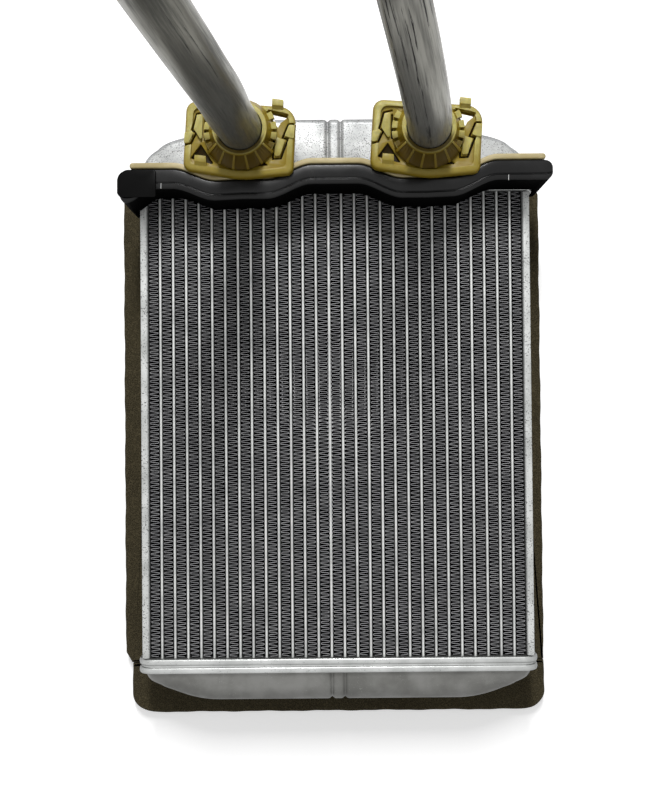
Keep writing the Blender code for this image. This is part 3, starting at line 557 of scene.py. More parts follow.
@dataclass(frozen=True)
class FinFoil:
    """Thin louvred foil, bright at its front and back edges, with painted shade that makes it near
    black deep in the core.
    """

    name: str
    edge: Colour
    dull: Colour
    # Near-black colour painted deep in the core, as painted shade.
    deep: Colour
    front_band: Band = (40.7, 41.17)
    back_band: Band = (11.9, 11.43)
    blotch: Grain = (7.0, 4.0)
    blotch_band: Band = (0.3, 0.72)
    flaw: Grain = (1.6, 2.0)
    flaw_band: Band = (0.5, 0.72)
    flaw_weight: float = 0.6
    metallic: float = 0.12
    gloss: float = 0.2
    roughness: Band = (0.3, 0.37)
    deep_roughness: float = 0.7
    louvre_pitch: float = 1.1
    louvre_depth: float = 0.06
    strength: float = 0.4

    def material(self) -> Material:
        """Build the material."""
        bench = Bench(self.name)
        height = bench.axes(bench.place)["Z"]
        front = bench.ramp(height, self.front_band, MM)
        back = bench.ramp(height, self.back_band, MM)
        rim = bench.math("MAXIMUM", front, back)
        blotch = bench.ramp(bench.noise(*self.blotch), self.blotch_band)
        flaw = bench.ramp(bench.noise(*self.flaw), self.flaw_band)
        foil = bench.mix(blotch, self.edge, self.dull)
        foil = bench.mix(bench.times(flaw, self.flaw_weight), foil, self.dull)
        # Painted shade: away from the front and back edges the foil takes the near-black colour.
        bench.dress("Base Color", bench.mix(rim, self.deep, foil))
        bench.dress("Metallic", bench.times(rim, self.metallic))
        bench.dress("Specular IOR Level", bench.times(rim, self.gloss))
        rough = bench.spread(blotch, self.roughness)
        matt = bench.spread(rim, (self.deep_roughness, 0.0))
        bench.dress("Roughness", bench.math("MAXIMUM", rough, matt))
        wave = bench.node("TexWave", bands_direction="Z")
        bench.plug(wave.inputs["Scale"], math.pi / 10.0 / (self.louvre_pitch * MM))
        bench.plug(wave.inputs["Vector"], bench.place)
        bench.relief(wave.outputs["Fac"], self.louvre_depth, self.strength)
        return bench.material


@dataclass(frozen=True)
class AmberPlastic:
    """Slightly clear moulded plastic, pale on top; painted shade makes it amber on its sides and lower
    side, dark on the skirt below its port and near black in its hollows.
    """

    name: str
    pale: Colour
    amber: Colour
    # Near-black colour painted in the slots and recesses, as painted shade.
    hollow: Colour
    # Painted shadow of the pipe on the ribbed skirt below the port.
    skirt: Colour
    # Where the painted shade below the port and the painted shadow on the skirt fall.
    port_x: float = 41.0
    port_y: float = 128.3
    fan_band: Band = (18.6, 16.8)
    below_band: Band = (0.0, -6.0)
    skirt_slope: float = 1.098
    rib_band: Band = (87.54, 87.74)
    rib_share: float = 0.35
    skirt_shadow_weight: float = 0.85
    low_shade_band: Band = (-5.0, -15.0)
    low_shade_weight: float = 0.7
    upward_band: Band = (0.55, 0.985)
    mottle: Grain = (2.4, 4.0)
    mottle_band: Band = (0.3, 0.75)
    mottle_share: float = 0.76
    flow: Grain = (8.0, 3.0)
    flow_band: Band = (0.35, 0.65)
    flow_weight: float = 0.25
    hollow_shade_band: Band = (68.6, 66.1)
    open_band: Band = (-0.2, 0.5)
    hollow_shade_from: float = 0.4
    roughness: Band = (0.3, 0.44)
    gloss: Band = (0.14, 0.05)
    clear: float = 0.35
    clear_colour: Colour = (1.0, 0.75, 0.2)
    clear_depth: float = 2.2
    index: float = 1.5
    pits: Grain = (0.5, 3.0)
    grain: float = 0.015
    strength: float = 0.4
    edge: float = 0.25

    def shade_below_port(self, bench: Bench) -> tuple[Socket, Socket]:
        """Masks of the painted shade on a clip's lower side and of the painted shadow on the skirt
        below its port.

        Args:
            bench: the material's nodes.

        Returns:
            The two value sockets.
        """
        axes = bench.axes(bench.place)
        aside = bench.math("ABSOLUTE", bench.math("SUBTRACT", axes["X"], DATUM.x * MM))
        aside = bench.math("SUBTRACT", aside, self.port_x * MM)
        below = bench.math("SUBTRACT", axes["Y"], (DATUM.y + self.port_y) * MM)
        square = bench.math("ADD", bench.times(aside, aside), bench.times(below, below))
        reach = bench.math("SQRT", square)
        inside = bench.ramp(reach, self.fan_band, MM)
        inside = bench.times(inside, bench.ramp(below, self.below_band, MM))
        cone = bench.math("ADD", axes["Z"], bench.times(reach, self.skirt_slope))
        ribs = bench.spread(bench.ramp(cone, self.rib_band, MM), (1.0, self.rib_share))
        return bench.ramp(below, self.low_shade_band, MM), bench.times(inside, ribs)

    def material(self) -> Material:
        """Build the material."""
        bench = Bench(self.name)
        upward = bench.ramp(bench.facing_up(), self.upward_band)
        mottle = bench.ramp(bench.noise(*self.mottle), self.mottle_band)
        flow = bench.ramp(bench.noise(*self.flow), self.flow_band)
        top = bench.mix(mottle, self.pale, dimmed(self.pale, self.mottle_share))
        top = bench.mix(bench.times(flow, self.flow_weight), top, self.amber)
        # Painted shade: faces that turn away from up take the amber colour.
        plastic = bench.mix(upward, self.amber, top)
        # Painted shade on the clip's lower side, and a painted shadow of the pipe on the skirt below
        # it.
        painted_low_shade, skirt = self.shade_below_port(bench)
        plastic = bench.mix(bench.times(painted_low_shade, self.low_shade_weight), plastic, self.amber)
        plastic = bench.mix(bench.times(skirt, self.skirt_shadow_weight), plastic, self.skirt)
        # Painted shade in the recesses: amber first, then near black deeper down.
        deep = bench.ramp(bench.axes(bench.place)["Z"], self.hollow_shade_band, MM)
        deep = bench.times(deep, bench.ramp(bench.facing_up(), self.open_band))
        plastic = bench.mix(bench.ramp(deep, (0.0, self.hollow_shade_from)), plastic, self.amber)
        deep = bench.ramp(deep, (self.hollow_shade_from, 1.0))
        bench.dress("Base Color", bench.mix(deep, plastic, self.hollow))
        bench.dress("Roughness", bench.spread(mottle, self.roughness))
        bench.dress("Specular IOR Level", bench.spread(deep, self.gloss))
        bench.dress("Subsurface Weight", self.clear)
        bench.dress("Subsurface Radius", self.clear_colour)
        bench.dress("Subsurface Scale", self.clear_depth * MM)
        bench.dress("IOR", self.index)
        bench.relief(bench.noise(*self.pits), self.grain, self.strength, self.edge)
        return bench.material


@dataclass(frozen=True)
class TanPlastic:
    """Tan moulded plastic with faint flow marks, blotches of grime, and painted shade on faces that do
    not face up.
    """

    name: str
    light: Colour
    dark: Colour
    grime: Colour
    flow: Grain = (12.0, 4.0)
    flow_band: Band = (0.35, 0.7)
    soil: Grain = (2.0, 4.0)
    grime_band: Band = (0.62, 0.78)
    grime_weight: float = 0.6
    upward_band: Band = (-0.2, 0.6)
    roughness: Band = (0.42, 0.58)
    clear: float = 0.1
    clear_colour: Colour = (1.0, 0.7, 0.3)
    clear_depth: float = 1.0
    pits: Grain = (0.6, 3.0)
    grain: float = 0.02
    strength: float = 0.5
    edge: float = 0.2

    def material(self) -> Material:
        """Build the material."""
        bench = Bench(self.name)
        flow = bench.ramp(bench.noise(*self.flow), self.flow_band)
        grime = bench.ramp(bench.noise(*self.soil), self.grime_band)
        upward = bench.ramp(bench.facing_up(), self.upward_band)
        base = bench.mix(flow, self.light, self.dark)
        # Painted shade: faces that turn away from up take the dark colour.
        base = bench.mix(upward, self.dark, base)
        grimy = bench.mix(bench.times(grime, self.grime_weight), base, self.grime)
        bench.dress("Base Color", grimy)
        bench.dress("Roughness", bench.spread(flow, self.roughness))
        bench.dress("Subsurface Weight", self.clear)
        bench.dress("Subsurface Radius", self.clear_colour)
        bench.dress("Subsurface Scale", self.clear_depth * MM)
        bench.relief(bench.noise(*self.pits), self.grain, self.strength, self.edge)
        return bench.material


@dataclass(frozen=True)
class BlackRubber:
    """Black rubber with a faint sheen, a soft bloom, rubbed patches and lint."""

    name: str
    base: Colour
    bloom: Colour
    lint: Colour
    roughness: Band = (0.18, 0.32)
    sheen: float = 0.22
    cloud: Grain = (26.0, 3.0)
    bloom_band: Band = (0.34, 0.66)
    upward_band: Band = (0.2, 0.95)
    dust: Grain = (0.7, 3.0)
    lint_band: Band = (0.74, 0.78)
    lint_weight: float = 0.3
    open_band: Band = (0.0, 0.7)
    side_roughness: float = 0.9
    pits: Grain = (0.4, 4.0)
    grain: float = 0.015
    strength: float = 0.4
    edge: float = 0.3

    def material(self) -> Material:
        """Build the material."""
        bench = Bench(self.name)
        bloom = bench.ramp(bench.noise(*self.cloud), self.bloom_band)
        upward = bench.ramp(bench.facing_up(), self.upward_band)
        lint = bench.ramp(bench.noise(*self.dust), self.lint_band)
        rubber = bench.mix(bench.times(bloom, upward), self.base, self.bloom)
        rubber = bench.mix(bench.times(lint, self.lint_weight), rubber, self.lint)
        bench.dress("Base Color", rubber)
        open_side = bench.ramp(bench.facing_up(), self.open_band)
        rough = bench.spread(bloom, self.roughness)
        matt = bench.spread(open_side, (self.side_roughness, 0.0))
        bench.dress("Roughness", bench.math("MAXIMUM", rough, matt))
        bench.dress("Specular IOR Level", bench.spread(open_side, (0.0, self.sheen)))
        bench.relief(bench.noise(*self.pits), self.grain, self.strength, self.edge)
        return bench.material


@dataclass(frozen=True)
class OliveFoam:
    """Open-cell foam: dark olive brown with pores and paler cell walls."""

    name: str
    base: Colour
    wall: Colour
    pore: float = 0.8
    wall_band: Band = (0.22, 0.02)
    speckle: Grain = (0.45, 3.0)
    speckle_band: Band = (0.45, 0.75)
    cloud: Grain = (16.0, 3.0)
    cloud_band: Band = (0.3, 0.7)
    paler: float = 0.45
    dull_share: float = 0.72
    roughness: Band = (0.88, 0.98)
    gloss: float = 0.15
    wall_rise: float = 0.7
    speckle_rise: float = 0.4
    depth: float = 0.35
    strength: float = 0.9

    def material(self) -> Material:
        """Build the material."""
        bench = Bench(self.name)
        cells = bench.node("TexVoronoi", feature="DISTANCE_TO_EDGE")
        bench.plug(cells.inputs["Scale"], 1.0 / (self.pore * MM))
        bench.plug(cells.inputs["Vector"], bench.place)
        walls = bench.ramp(cells.outputs["Distance"], self.wall_band)
        speckle = bench.ramp(bench.noise(*self.speckle), self.speckle_band)
        cloud = bench.ramp(bench.noise(*self.cloud), self.cloud_band)
        dull = bench.mix(cloud, self.base, dimmed(self.base, self.dull_share))
        share = bench.times(bench.math("ADD", walls, speckle), self.paler)
        bench.dress("Base Color", bench.mix(share, dull, self.wall))
        bench.dress("Roughness", bench.spread(cloud, self.roughness))
        bench.dress("Specular IOR Level", self.gloss)
        rise = bench.times(speckle, self.speckle_rise)
        rise = bench.math("ADD", bench.times(walls, self.wall_rise), rise)
        bench.relief(rise, self.depth, self.strength)
        return bench.material


class Finishes:
    """Every finish of the core, each made once."""

    def __init__(self) -> None:
        """Build the materials."""
        # The flank share sets the painted shade on tube sides, header grooves, rounded edges and tank
        # slopes.
        self.tubes = BrazedMetal(
            "tube_metal", (0.78, 0.79, 0.77), (0.52, 0.53, 0.52), (0.36, 0.37, 0.36),
            fleck_size=0.5, fleck_from=0.8098, metallic=0.25, edge=0.0, flank_shade=0.3,
        ).material()
        self.header = BrazedMetal(
            "header_metal", (0.58, 0.59, 0.58), (0.42, 0.43, 0.42), (0.26, 0.27, 0.27),
            fleck_from=0.7762, metallic=0.6, roughness=0.36, edge=0.0, flank_shade=0.4,
        ).material()
        self.side = BrazedMetal(
            "side_metal", (0.60, 0.61, 0.60), (0.38, 0.39, 0.38), (0.13, 0.13, 0.13),
            fleck_from=0.709, metallic=0.55, edge=0.5, flank_shade=0.5,
        ).material()
        self.top_tank = BrazedMetal(
            "top_tank_metal", (0.51, 0.52, 0.52), (0.32, 0.33, 0.33), (0.11, 0.11, 0.11),
            fleck_size=0.5, fleck_from=0.6838, metallic=0.25, roughness=0.38, grain=0.05,
            edge=0.0, flank_shade=0.12,
        ).material()
        # The lower tank is the same aluminium as the upper tank; its darker grey is painted shade, a
        # painted reflection of dark surroundings.
        self.bottom_tank = BrazedMetal(
            "shaded_bottom_tank_metal", (0.20, 0.20, 0.19), (0.135, 0.135, 0.126), (0.27, 0.27, 0.26),
            fleck_size=0.5, fleck_from=0.793, metallic=0.6, roughness=0.48, edge=0.0,
        ).material()
        self.inner = BrazedMetal(
            "inner_metal", (0.5, 0.5, 0.5), (0.4, 0.4, 0.4), (0.30, 0.31, 0.31), metallic=0.7,
        ).material()
        # The third fin colour is painted shade deep in the core.
        self.fins = FinFoil(
            "fin_foil", (0.42, 0.42, 0.43), (0.25, 0.25, 0.26), (0.004, 0.004, 0.0045),
        ).material()
        left = DrawnPipe(
            "left_pipe_metal", (0.19, 0.185, 0.158), (0.085, 0.085, 0.075), (0.03, 0.03, 0.025),
            score_from=0.62,
        )
        right = DrawnPipe(
            "right_pipe_metal", (0.29, 0.285, 0.255), (0.15, 0.148, 0.134), (0.02, 0.018, 0.018),
            score_from=0.564,
        )
        self.pipes = {Hand.LEFT: left.material(), Hand.RIGHT: right.material()}
        # Clip colours: pale top; amber, its own tone in streaks and painted shade on its sides;
        # painted shade in its hollows; painted shadow on its skirt.
        self.clip = AmberPlastic(
            "clip_plastic", (0.53, 0.475, 0.165), (0.25, 0.175, 0.012), (0.02, 0.013, 0.0015),
            (0.066, 0.037, 0.0006),
        ).material()
        self.carrier = TanPlastic(
            "carrier_plastic", (0.50, 0.42, 0.225), (0.37, 0.30, 0.135), (0.20, 0.17, 0.09),
        ).material()
        self.seal = BlackRubber(
            "seal_rubber", (0.002, 0.002, 0.002), (0.006, 0.006, 0.006), (0.10, 0.10, 0.10),
        ).material()
        self.flap = BlackRubber(
            "flap_rubber", (0.0015, 0.0015, 0.0015), (0.003, 0.003, 0.003), (0.08, 0.08, 0.08),
            roughness=(0.12, 0.26), sheen=0.05,
        ).material()
        self.tick = TanPlastic(
            "pale_tick", (0.62, 0.62, 0.60), (0.45, 0.45, 0.44), (0.3, 0.3, 0.3),
        ).material()
        self.foam = OliveFoam(
            "olive_foam", (0.036, 0.030, 0.015), (0.12, 0.098, 0.055),
        ).material()


# Sub-assemblies


class Assembly:
    """A group of pieces that is built, dressed and hung on the body."""

    title = "assembly"

    @dataclass(frozen=True)
    class Sizes:
        """Sizes of the assembly."""

    def __init__(self, finishes: Finishes, side: Optional[Hand | End] = None) -> None:
        """Take the finishes, and the side of the core where there are two."""
        self.finishes = finishes
        self.side = side
        self.sizes = self.Sizes()
        self.pieces: list[tuple[Piece, Material, Slot, tuple[str, ...]]] = []
        self.carried: dict[str, Material] = {}

    def keep(self, piece: Piece, finish: Material, slot: Slot, *nodes: str) -> None:
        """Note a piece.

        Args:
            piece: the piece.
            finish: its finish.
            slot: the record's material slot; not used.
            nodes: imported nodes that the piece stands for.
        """
        self.pieces.append((piece, finish, slot, nodes))

    def build(self) -> None:
        """Build the pieces."""
        raise NotImplementedError

    def dress(self) -> None:
        """Finish the pieces, tie them to the frame, and finish the carried-over nodes."""
        for piece, finish, slot, nodes in self.pieces:
            piece.data.materials.clear()
            piece.data.materials.append(finish)
            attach(piece, BODY)
            if nodes:
                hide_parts(*nodes)
            LOG.info("%s: %s, %d faces", self.title, piece.name, len(piece.data.polygons))
        for node, finish in self.carried.items():
            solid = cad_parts[node]
            if not solid.material_slots:
                solid.data.materials.append(finish)
            for place in solid.material_slots:
                place.material = finish


class FinPack(Assembly):
    """Flat tubes with a fine corrugated strip on each side of every tube."""

    title = "tubes and fins"

    @dataclass(frozen=True)
    class Sizes:
        """Sizes of the tube and fin pack."""

        tubes: int = 28
        pitch: float = 6.0
        tube_thickness: float = 1.3
        tube_nose: float = 0.63
        tube_back: float = 11.0
        tube_front: float = 41.6
        half_length: float = 106.7
        tube_lap: float = 1.5
        strip_width: float = 4.1
        leg_pitch: float = 0.97
        end_gap: float = 0.4
        fold_reach: float = 0.62
        fold_turn: float = 0.78
        foil: float = 0.22
        strip_back: float = 11.4
        strip_front: float = 41.2
        sway: float = 0.1
        sway_pace: float = 0.23
        wander: float = 0.09
        slant: float = 0.13
        louvre_lean: float = 0.9
        first_seed: int = 400

    def fold_line(self, row: int) -> list[Point]:
        """Bent line of one strip: legs from tube to tube, joined by round folds.

        Args:
            row: number of the strip, from the left.

        Returns:
            Points of the line about the strip's middle.
        """
        sizes = self.sizes
        chance = random.Random(sizes.first_seed + row)
        legs = int(2 * sizes.half_length / sizes.leg_pitch)
        step = 2 * (sizes.half_length - sizes.end_gap) / (legs - 1)
        reach = (sizes.strip_width - sizes.foil) / 2 - sizes.fold_reach
        drift = chance.uniform(0, 2 * math.pi)
        line: list[Point] = []
        for leg in range(legs):
            side = 1 if (leg + row) % 2 else -1
            level = -sizes.half_length + sizes.end_gap + leg * step
            level += sizes.sway * math.sin(leg * sizes.sway_pace + drift)
            tilt = sizes.slant + chance.uniform(-sizes.wander, sizes.wander)
            line += [(-side * reach, level - tilt), (side * reach, level + tilt)]
            if leg + 1 < legs:
                for turn in (-sizes.fold_turn, 0.0, sizes.fold_turn):
                    aside = side * (reach + sizes.fold_reach * math.cos(turn))
                    rise = step / 2 + (step / 2 - sizes.slant) * math.sin(turn)
                    line.append((aside, level + rise))
        return line

    def strip(self, row: int) -> Piece:
        """Build one corrugated strip, whose louvres lean at mid depth."""
        sizes = self.sizes
        centre = (row - sizes.tubes / 2) * sizes.pitch
        line = self.fold_line(row)
        middle = (sizes.strip_front + sizes.strip_back) / 2
        swell = (sizes.pitch - sizes.tube_thickness) / sizes.strip_width
        levels = (
            (sizes.strip_front, 1.0, 0.0),
            (middle, swell, sizes.louvre_lean),
            (sizes.strip_back, 1.0, 0.0),
        )
        verts: list[Vector] = []
        for index, (u, v) in enumerate(line):
            before, after = line[max(index - 1, 0)], line[min(index + 1, len(line) - 1)]
            along = (Vector(after) - Vector(before)).normalized()
            offset = Vector((-along.y, along.x)) * sizes.foil / 2
            for sign, order in ((1, levels), (-1, levels[::-1])):
                for level, wide, lean in order:
                    x = centre + (u + sign * offset.x) * wide
                    verts.append(DATUM.place(x, v + sign * offset.y + lean, level))
        count = 2 * len(levels)
        last = count * (len(line) - 1)
        faces = [tuple(range(count)), tuple(range(last + count - 1, last - 1, -1))]
        for here in range(0, last, count):
            for corner in range(count):
                a, b = here + corner, here + (corner + 1) % count
                faces.append((a, a + count, b + count, b))
        mesh = bpy.data.meshes.new(f"fin_strip_{row + 1:02d}")
        mesh.from_pydata(verts, [], faces)
        mesh.shade_flat()
        return add_object(mesh.name, mesh)

    def tube_row(self) -> Piece:
        """Build all flat tubes, with round noses, as one piece."""
        sizes = self.sizes
        half_depth = (sizes.tube_front - sizes.tube_back) / 2
        middle = (sizes.tube_front + sizes.tube_back) / 2
        section = rounded_box_loop(sizes.tube_thickness / 2, half_depth, sizes.tube_nose, 6)
        reach = sizes.half_length + sizes.tube_lap
        parts = []
        for tube in range(sizes.tubes):
            x = (tube - (sizes.tubes - 1) / 2) * sizes.pitch
            ends = [[DATUM.place(x + u, y, middle + v) for u, v in section] for y in (-reach, reach)]
            parts.append(loft(ends))
        return merged(parts, "flat_tubes", 50)

    def build(self) -> None:
        """Build the tubes and the strips, and finish the side plates."""
        self.keep(self.tube_row(), self.finishes.tubes, Slot.MATRIX, "tube_bank")
        for row in range(self.sizes.tubes + 1):
            self.keep(self.strip(row), self.finishes.fins, Slot.FIN, f"fin_{row + 1:02d}")
        for hand in Hand:
            self.carried[f"side_plate_{hand.name.lower()}"] = self.finishes.side


class HeaderTray(Assembly):
    """Pressed header with two soft rolls round its rim."""

    title = "header"
    NODES = {End.LOWER: "tube_bank", End.UPPER: "top_header"}

    @dataclass(frozen=True)
    class Sizes:
        """Sizes of the header tray."""

        half_width: float = 92.0
        half_depth: float = 18.0
        middle: float = 26.3
        corner: float = 7.0
        start: float = 107.0
        roll: float = 2.9
        roll_power: float = 0.6
        roll_steps: int = 8
        groove: float = 0.9
        groove_inset: float = 0.825
        proud: float = 0.75

    def levels(self) -> list[Point]:
        """(distance past the matrix, inset) pairs along the two rolls."""
        sizes = self.sizes
        roll = []
        for step in range(sizes.roll_steps + 1):
            turn = math.pi * step / sizes.roll_steps
            inset = sizes.proud * (1 - math.sin(turn) ** sizes.roll_power)
            roll.append((sizes.roll / 2 * (1 - math.cos(turn)), inset))
        second = sizes.roll + sizes.groove
        groove = (sizes.roll + sizes.groove / 2, sizes.groove_inset)
        return roll + [groove] + [(second + distance, inset) for distance, inset in roll]

    def build(self) -> None:
        """Build the tray."""
        sizes = self.sizes
        rings = []
        for distance, inset in self.levels():
            half_width, half_depth = sizes.half_width - inset, sizes.half_depth - inset
            loop = rounded_box_loop(half_width, half_depth, sizes.corner, 8)
            y = self.side.value * (sizes.start + distance)
            rings.append([DATUM.place(u, y, sizes.middle + v) for u, v in loop])
        tray = piece_from(loft(rings), f"{self.side.name.lower()}_header", 60)
        self.keep(tray, self.finishes.header, Slot.MATRIX, self.NODES[self.side])


class Tank(Assembly):
    """Drawn tank: a shallow pan with sloped shoulders, round rim and a double pinch."""

    title = "tank"

    @dataclass(frozen=True)
    class Sizes:
        """Sizes of one tank; those that have a value are the upper tank's or shared."""

        height: float = 31.1
        flat: float = 36.0
        shoulder_reach: float = 70.0
        shoulder_drop: float = 8.3
        corner_height: float = 17.2
        rounding: float = 3.2
        half_width: float = 89.6
        half_depth: float = 15.6
        middle: float = 26.3
        lip: float = 110.8
        sunk: float = 2.0
        ease: float = 8.0
        least: float = 0.2
        pinch_place: float = 3.0
        pinch_width: float = 0.85
        pinch_depth: float = 0.8
        pinch_step: float = 0.35
        pinch_steps: int = 18
        sections: int = 46
        round_steps: int = 8

    LOWER = Sizes(16.6, 64.0, 84.0, 7.3, 5.3, 7.0)

    def crest(self, x: float) -> float:
        """Height of the tank's outline at a place across the core, with eased corners."""
        ease = min(self.sizes.ease, self.sizes.half_width - abs(x))
        samples = [self.raw_crest(x + ease * step / 4) for step in range(-4, 5)]
        return sum(samples) / len(samples)

    def raw_crest(self, x: float) -> float:
        """Height of the tank's outline before its corners are eased."""
        sizes = self.sizes
        reach = abs(x)
        if reach <= sizes.flat:
            return sizes.height
        if reach <= sizes.shoulder_reach:
            share = (reach - sizes.flat) / (sizes.shoulder_reach - sizes.flat)
            return sizes.height - sizes.shoulder_drop * share
        share = (reach - sizes.shoulder_reach) / (sizes.half_width - sizes.shoulder_reach)
        oval = math.sqrt(max(0.0, 1 - share * share))
        return sizes.height - sizes.shoulder_drop - sizes.corner_height * (1 - oval)

    def stations(self) -> list[float]:
        """Places across the core at which the tank has a section."""
        sizes = self.sizes
        places = {round(sizes.half_width * sine, 3) for sine, _ in quarter(sizes.sections)}
        places |= {sizes.flat, sizes.shoulder_reach}
        places |= {round(step * sizes.pinch_step, 3) for step in range(sizes.pinch_steps)}
        right = sorted(places)
        return [-x for x in reversed(right) if x > 0] + right

    def section(self, x: float) -> list[Vector]:
        """Closed section of the tank at a place across the core."""
        sizes = self.sizes
        away = (abs(x) - sizes.pinch_place) / sizes.pinch_width
        pinch = sizes.pinch_depth * math.exp(-away * away)
        near = min(sizes.half_width - abs(x), sizes.rounding)
        shrink = sizes.rounding - math.sqrt(sizes.rounding**2 - (sizes.rounding - near) ** 2)
        depth = sizes.half_depth - pinch - shrink
        crest = self.crest(x) - pinch
        radius = max(sizes.least, min(sizes.rounding, crest - sizes.least, depth - sizes.least))
        front = []
        for sine, cosine in quarter(sizes.round_steps):
            front.append((crest - radius * (1 - sine), depth - radius * (1 - cosine)))
        points = [(-sizes.sunk, -depth)] + [(y, -z) for y, z in front]
        points += front[::-1] + [(-sizes.sunk, depth)]
        sign = self.side.value
        return [DATUM.place(x, sign * (sizes.lip + y), sizes.middle + z) for y, z in points]

    def build(self) -> None:
        """Build the tank, and finish the divider in the upper one."""
        upper = self.side is End.UPPER
        if not upper:
            self.sizes = self.LOWER
        rings = [self.section(x) for x in self.stations()]
        tank = piece_from(loft(rings), f"{self.side.name.lower()}_tank", 50)
        if upper:
            self.keep(tank, self.finishes.top_tank, Slot.TANK, "top_tank")
            self.carried["tank_divider"] = self.finishes.inner
        else:
            self.keep(tank, self.finishes.bottom_tank, Slot.TANK, "bottom_tank")


class PortPipe(Assembly):
    """Bent pipe with its beads, standing in the port."""

    title = "port pipe"

    @dataclass(frozen=True)
    class Sizes:
        """Sizes shared by both pipes."""

        port_x: float = 41.0
        port_y: float = 128.3
        foot: float = 44.3
        crown: float = 75.4
        run_in: float = 20.0
        radius: float = 9.5
        bore: float = 8.1
        bead_top: float = 63.8
        bead_length: float = 3.0
        bead_rise: float = 2.9
        bead_slope: float = 0.6
        hose_bead: float = 1.1
        hose_bead_back: float = 8.0
        hose_bead_step: float = 0.36
        hose_bead_steps: int = 5
        hose_bead_power: float = 1.2
        mouth: float = 0.4
        mouth_round: float = 0.3
        bend_steps: int = 9
        sides: int = 64

    ROUTES = {
        Hand.LEFT: (
            (-1.3, -2.9, 31.2), (-2.4, -4.1, 58.7), (-5.2, -3.1, 78.7),
            (-9.8, -0.3, 104.8), (-15.4, 4.4, 127.9), (-23.2, 11.7, 157.0),
        ),
        Hand.RIGHT: (
            (-3.0, -2.0, 27.0), (-7.2, 2.4, 50.8), (-12.0, 10.4, 71.0),
            (-16.9, 19.9, 88.1), (-24.4, 34.7, 113.4),
        ),
    }

    def foot(self) -> list[tuple[Vector, float]]:
        """(place, radius) pairs in the port, with the bead that the clip holds."""
        sizes = self.sizes
        low, high = sizes.bead_top - sizes.bead_length, sizes.bead_top
        swell = sizes.radius + sizes.bead_rise
        levels = (
            (sizes.foot, sizes.radius),
            (low, sizes.radius),
            (low + sizes.bead_slope, swell),
            (high - sizes.bead_slope, swell),
            (high, sizes.radius),
        )
        x, y = self.side.value * sizes.port_x, sizes.port_y
        return [(Vector((x, y, level)), radius) for level, radius in levels]

    def centre_line(self) -> list[tuple[Vector, float]]:
        """(place, radius) pairs along the pipe, in the core's millimetres."""
        sizes = self.sizes
        pairs = self.foot()
        crown = Vector((self.side.value * sizes.port_x, sizes.port_y, sizes.crown))
        guides = [crown - Vector((0, 0, sizes.run_in)), crown]
        guides += [crown + Vector(point) for point in self.ROUTES[self.side]]
        for a, b, c, d in zip(guides, guides[1:], guides[2:], guides[3:]):
            for step in range(sizes.bend_steps):
                t = step / sizes.bend_steps
                place = 2 * b + (c - a) * t + (2 * a - 5 * b + 4 * c - d) * t**2
                place += (3 * b - a - 3 * c + d) * t**3
                pairs.append((place / 2, sizes.radius))
        start, end = guides[-2:]
        along = (end - start).normalized()
        pairs.append((start, sizes.radius))
        for step in range(-sizes.hose_bead_steps, sizes.hose_bead_steps + 1):
            swell = math.cos(step / sizes.hose_bead_steps * QUARTER) ** sizes.hose_bead_power
            place = end - along * (sizes.hose_bead_back - step * sizes.hose_bead_step)
            pairs.append((place, sizes.radius + sizes.hose_bead * swell))
        pairs.append((end - along * sizes.mouth, sizes.radius))
        pairs.append((end, sizes.radius - sizes.mouth_round))
        return pairs

    def circle(self) -> list[Point]:
        """(cosine, sine) pairs round the pipe."""
        turns = [2 * math.pi * step / self.sizes.sides for step in range(self.sizes.sides)]
        return [(math.cos(turn), math.sin(turn)) for turn in turns]

    def rings(self, pairs: Sequence[tuple[Vector, float]]) -> list[list[Vector]]:
        """Rings of the pipe's outside, and then of its bore.

        Args:
            pairs: places along the pipe with its outer radius there.

        Returns:
            The rings in order.
        """
        places = [place for place, _ in pairs]
        along = (places[1] - places[0]).normalized()
        across = Vector((1, 0, 0))
        outer, inner = [], []
        for index, (place, radius) in enumerate(pairs):
            ahead, behind = places[min(index + 1, len(places) - 1)], places[max(index - 1, 0)]
            fresh = (ahead - behind).normalized()
            across = (along.rotation_difference(fresh) @ across).normalized()
            along = fresh
            aside = along.cross(across)
            for rings, size in ((outer, radius), (inner, self.sizes.bore)):
                spokes = [across * cosine + aside * sine for cosine, sine in self.circle()]
                rings.append([DATUM.place(*(place + spoke * size)) for spoke in spokes])
        return outer + inner[::-1]

    def unroll(self, shape: Shape, places: Sequence[Vector]) -> None:
        """Give each vertex its place on the straightened pipe, for streaks along it.

        Args:
            shape: the pipe.
            places: places along its centre line.
        """
        lengths = [0.0]
        for before, after in zip(places, places[1:]):
            lengths.append(lengths[-1] + (after - before).length)
        layer = shape.verts.layers.float_vector.new(PIPE_PLACE)
        spots = []
        for length in lengths + lengths[::-1]:
            for cosine, sine in self.circle():
                radius = self.sizes.radius
                spots.append(Vector((radius * cosine, radius * sine, length)) * MM)
        for vert, spot in zip(shape.verts, spots):
            vert[layer] = spot

    def build(self) -> None:
        """Build the pipe, and finish its collar and its ring."""
        side = self.side.name.lower()
        pairs = self.centre_line()
        shape = loft(self.rings(pairs), closed=True)
        self.unroll(shape, [place for place, _ in pairs])
        pipe = piece_from(shape, f"{side}_port_pipe", 40)
        self.keep(pipe, self.finishes.pipes[self.side], Slot.PIPE, f"pipe_{side}")
        self.carried[f"port_collar_{side}"] = self.finishes.inner
        self.carried[f"o_ring_{side}"] = self.finishes.flap


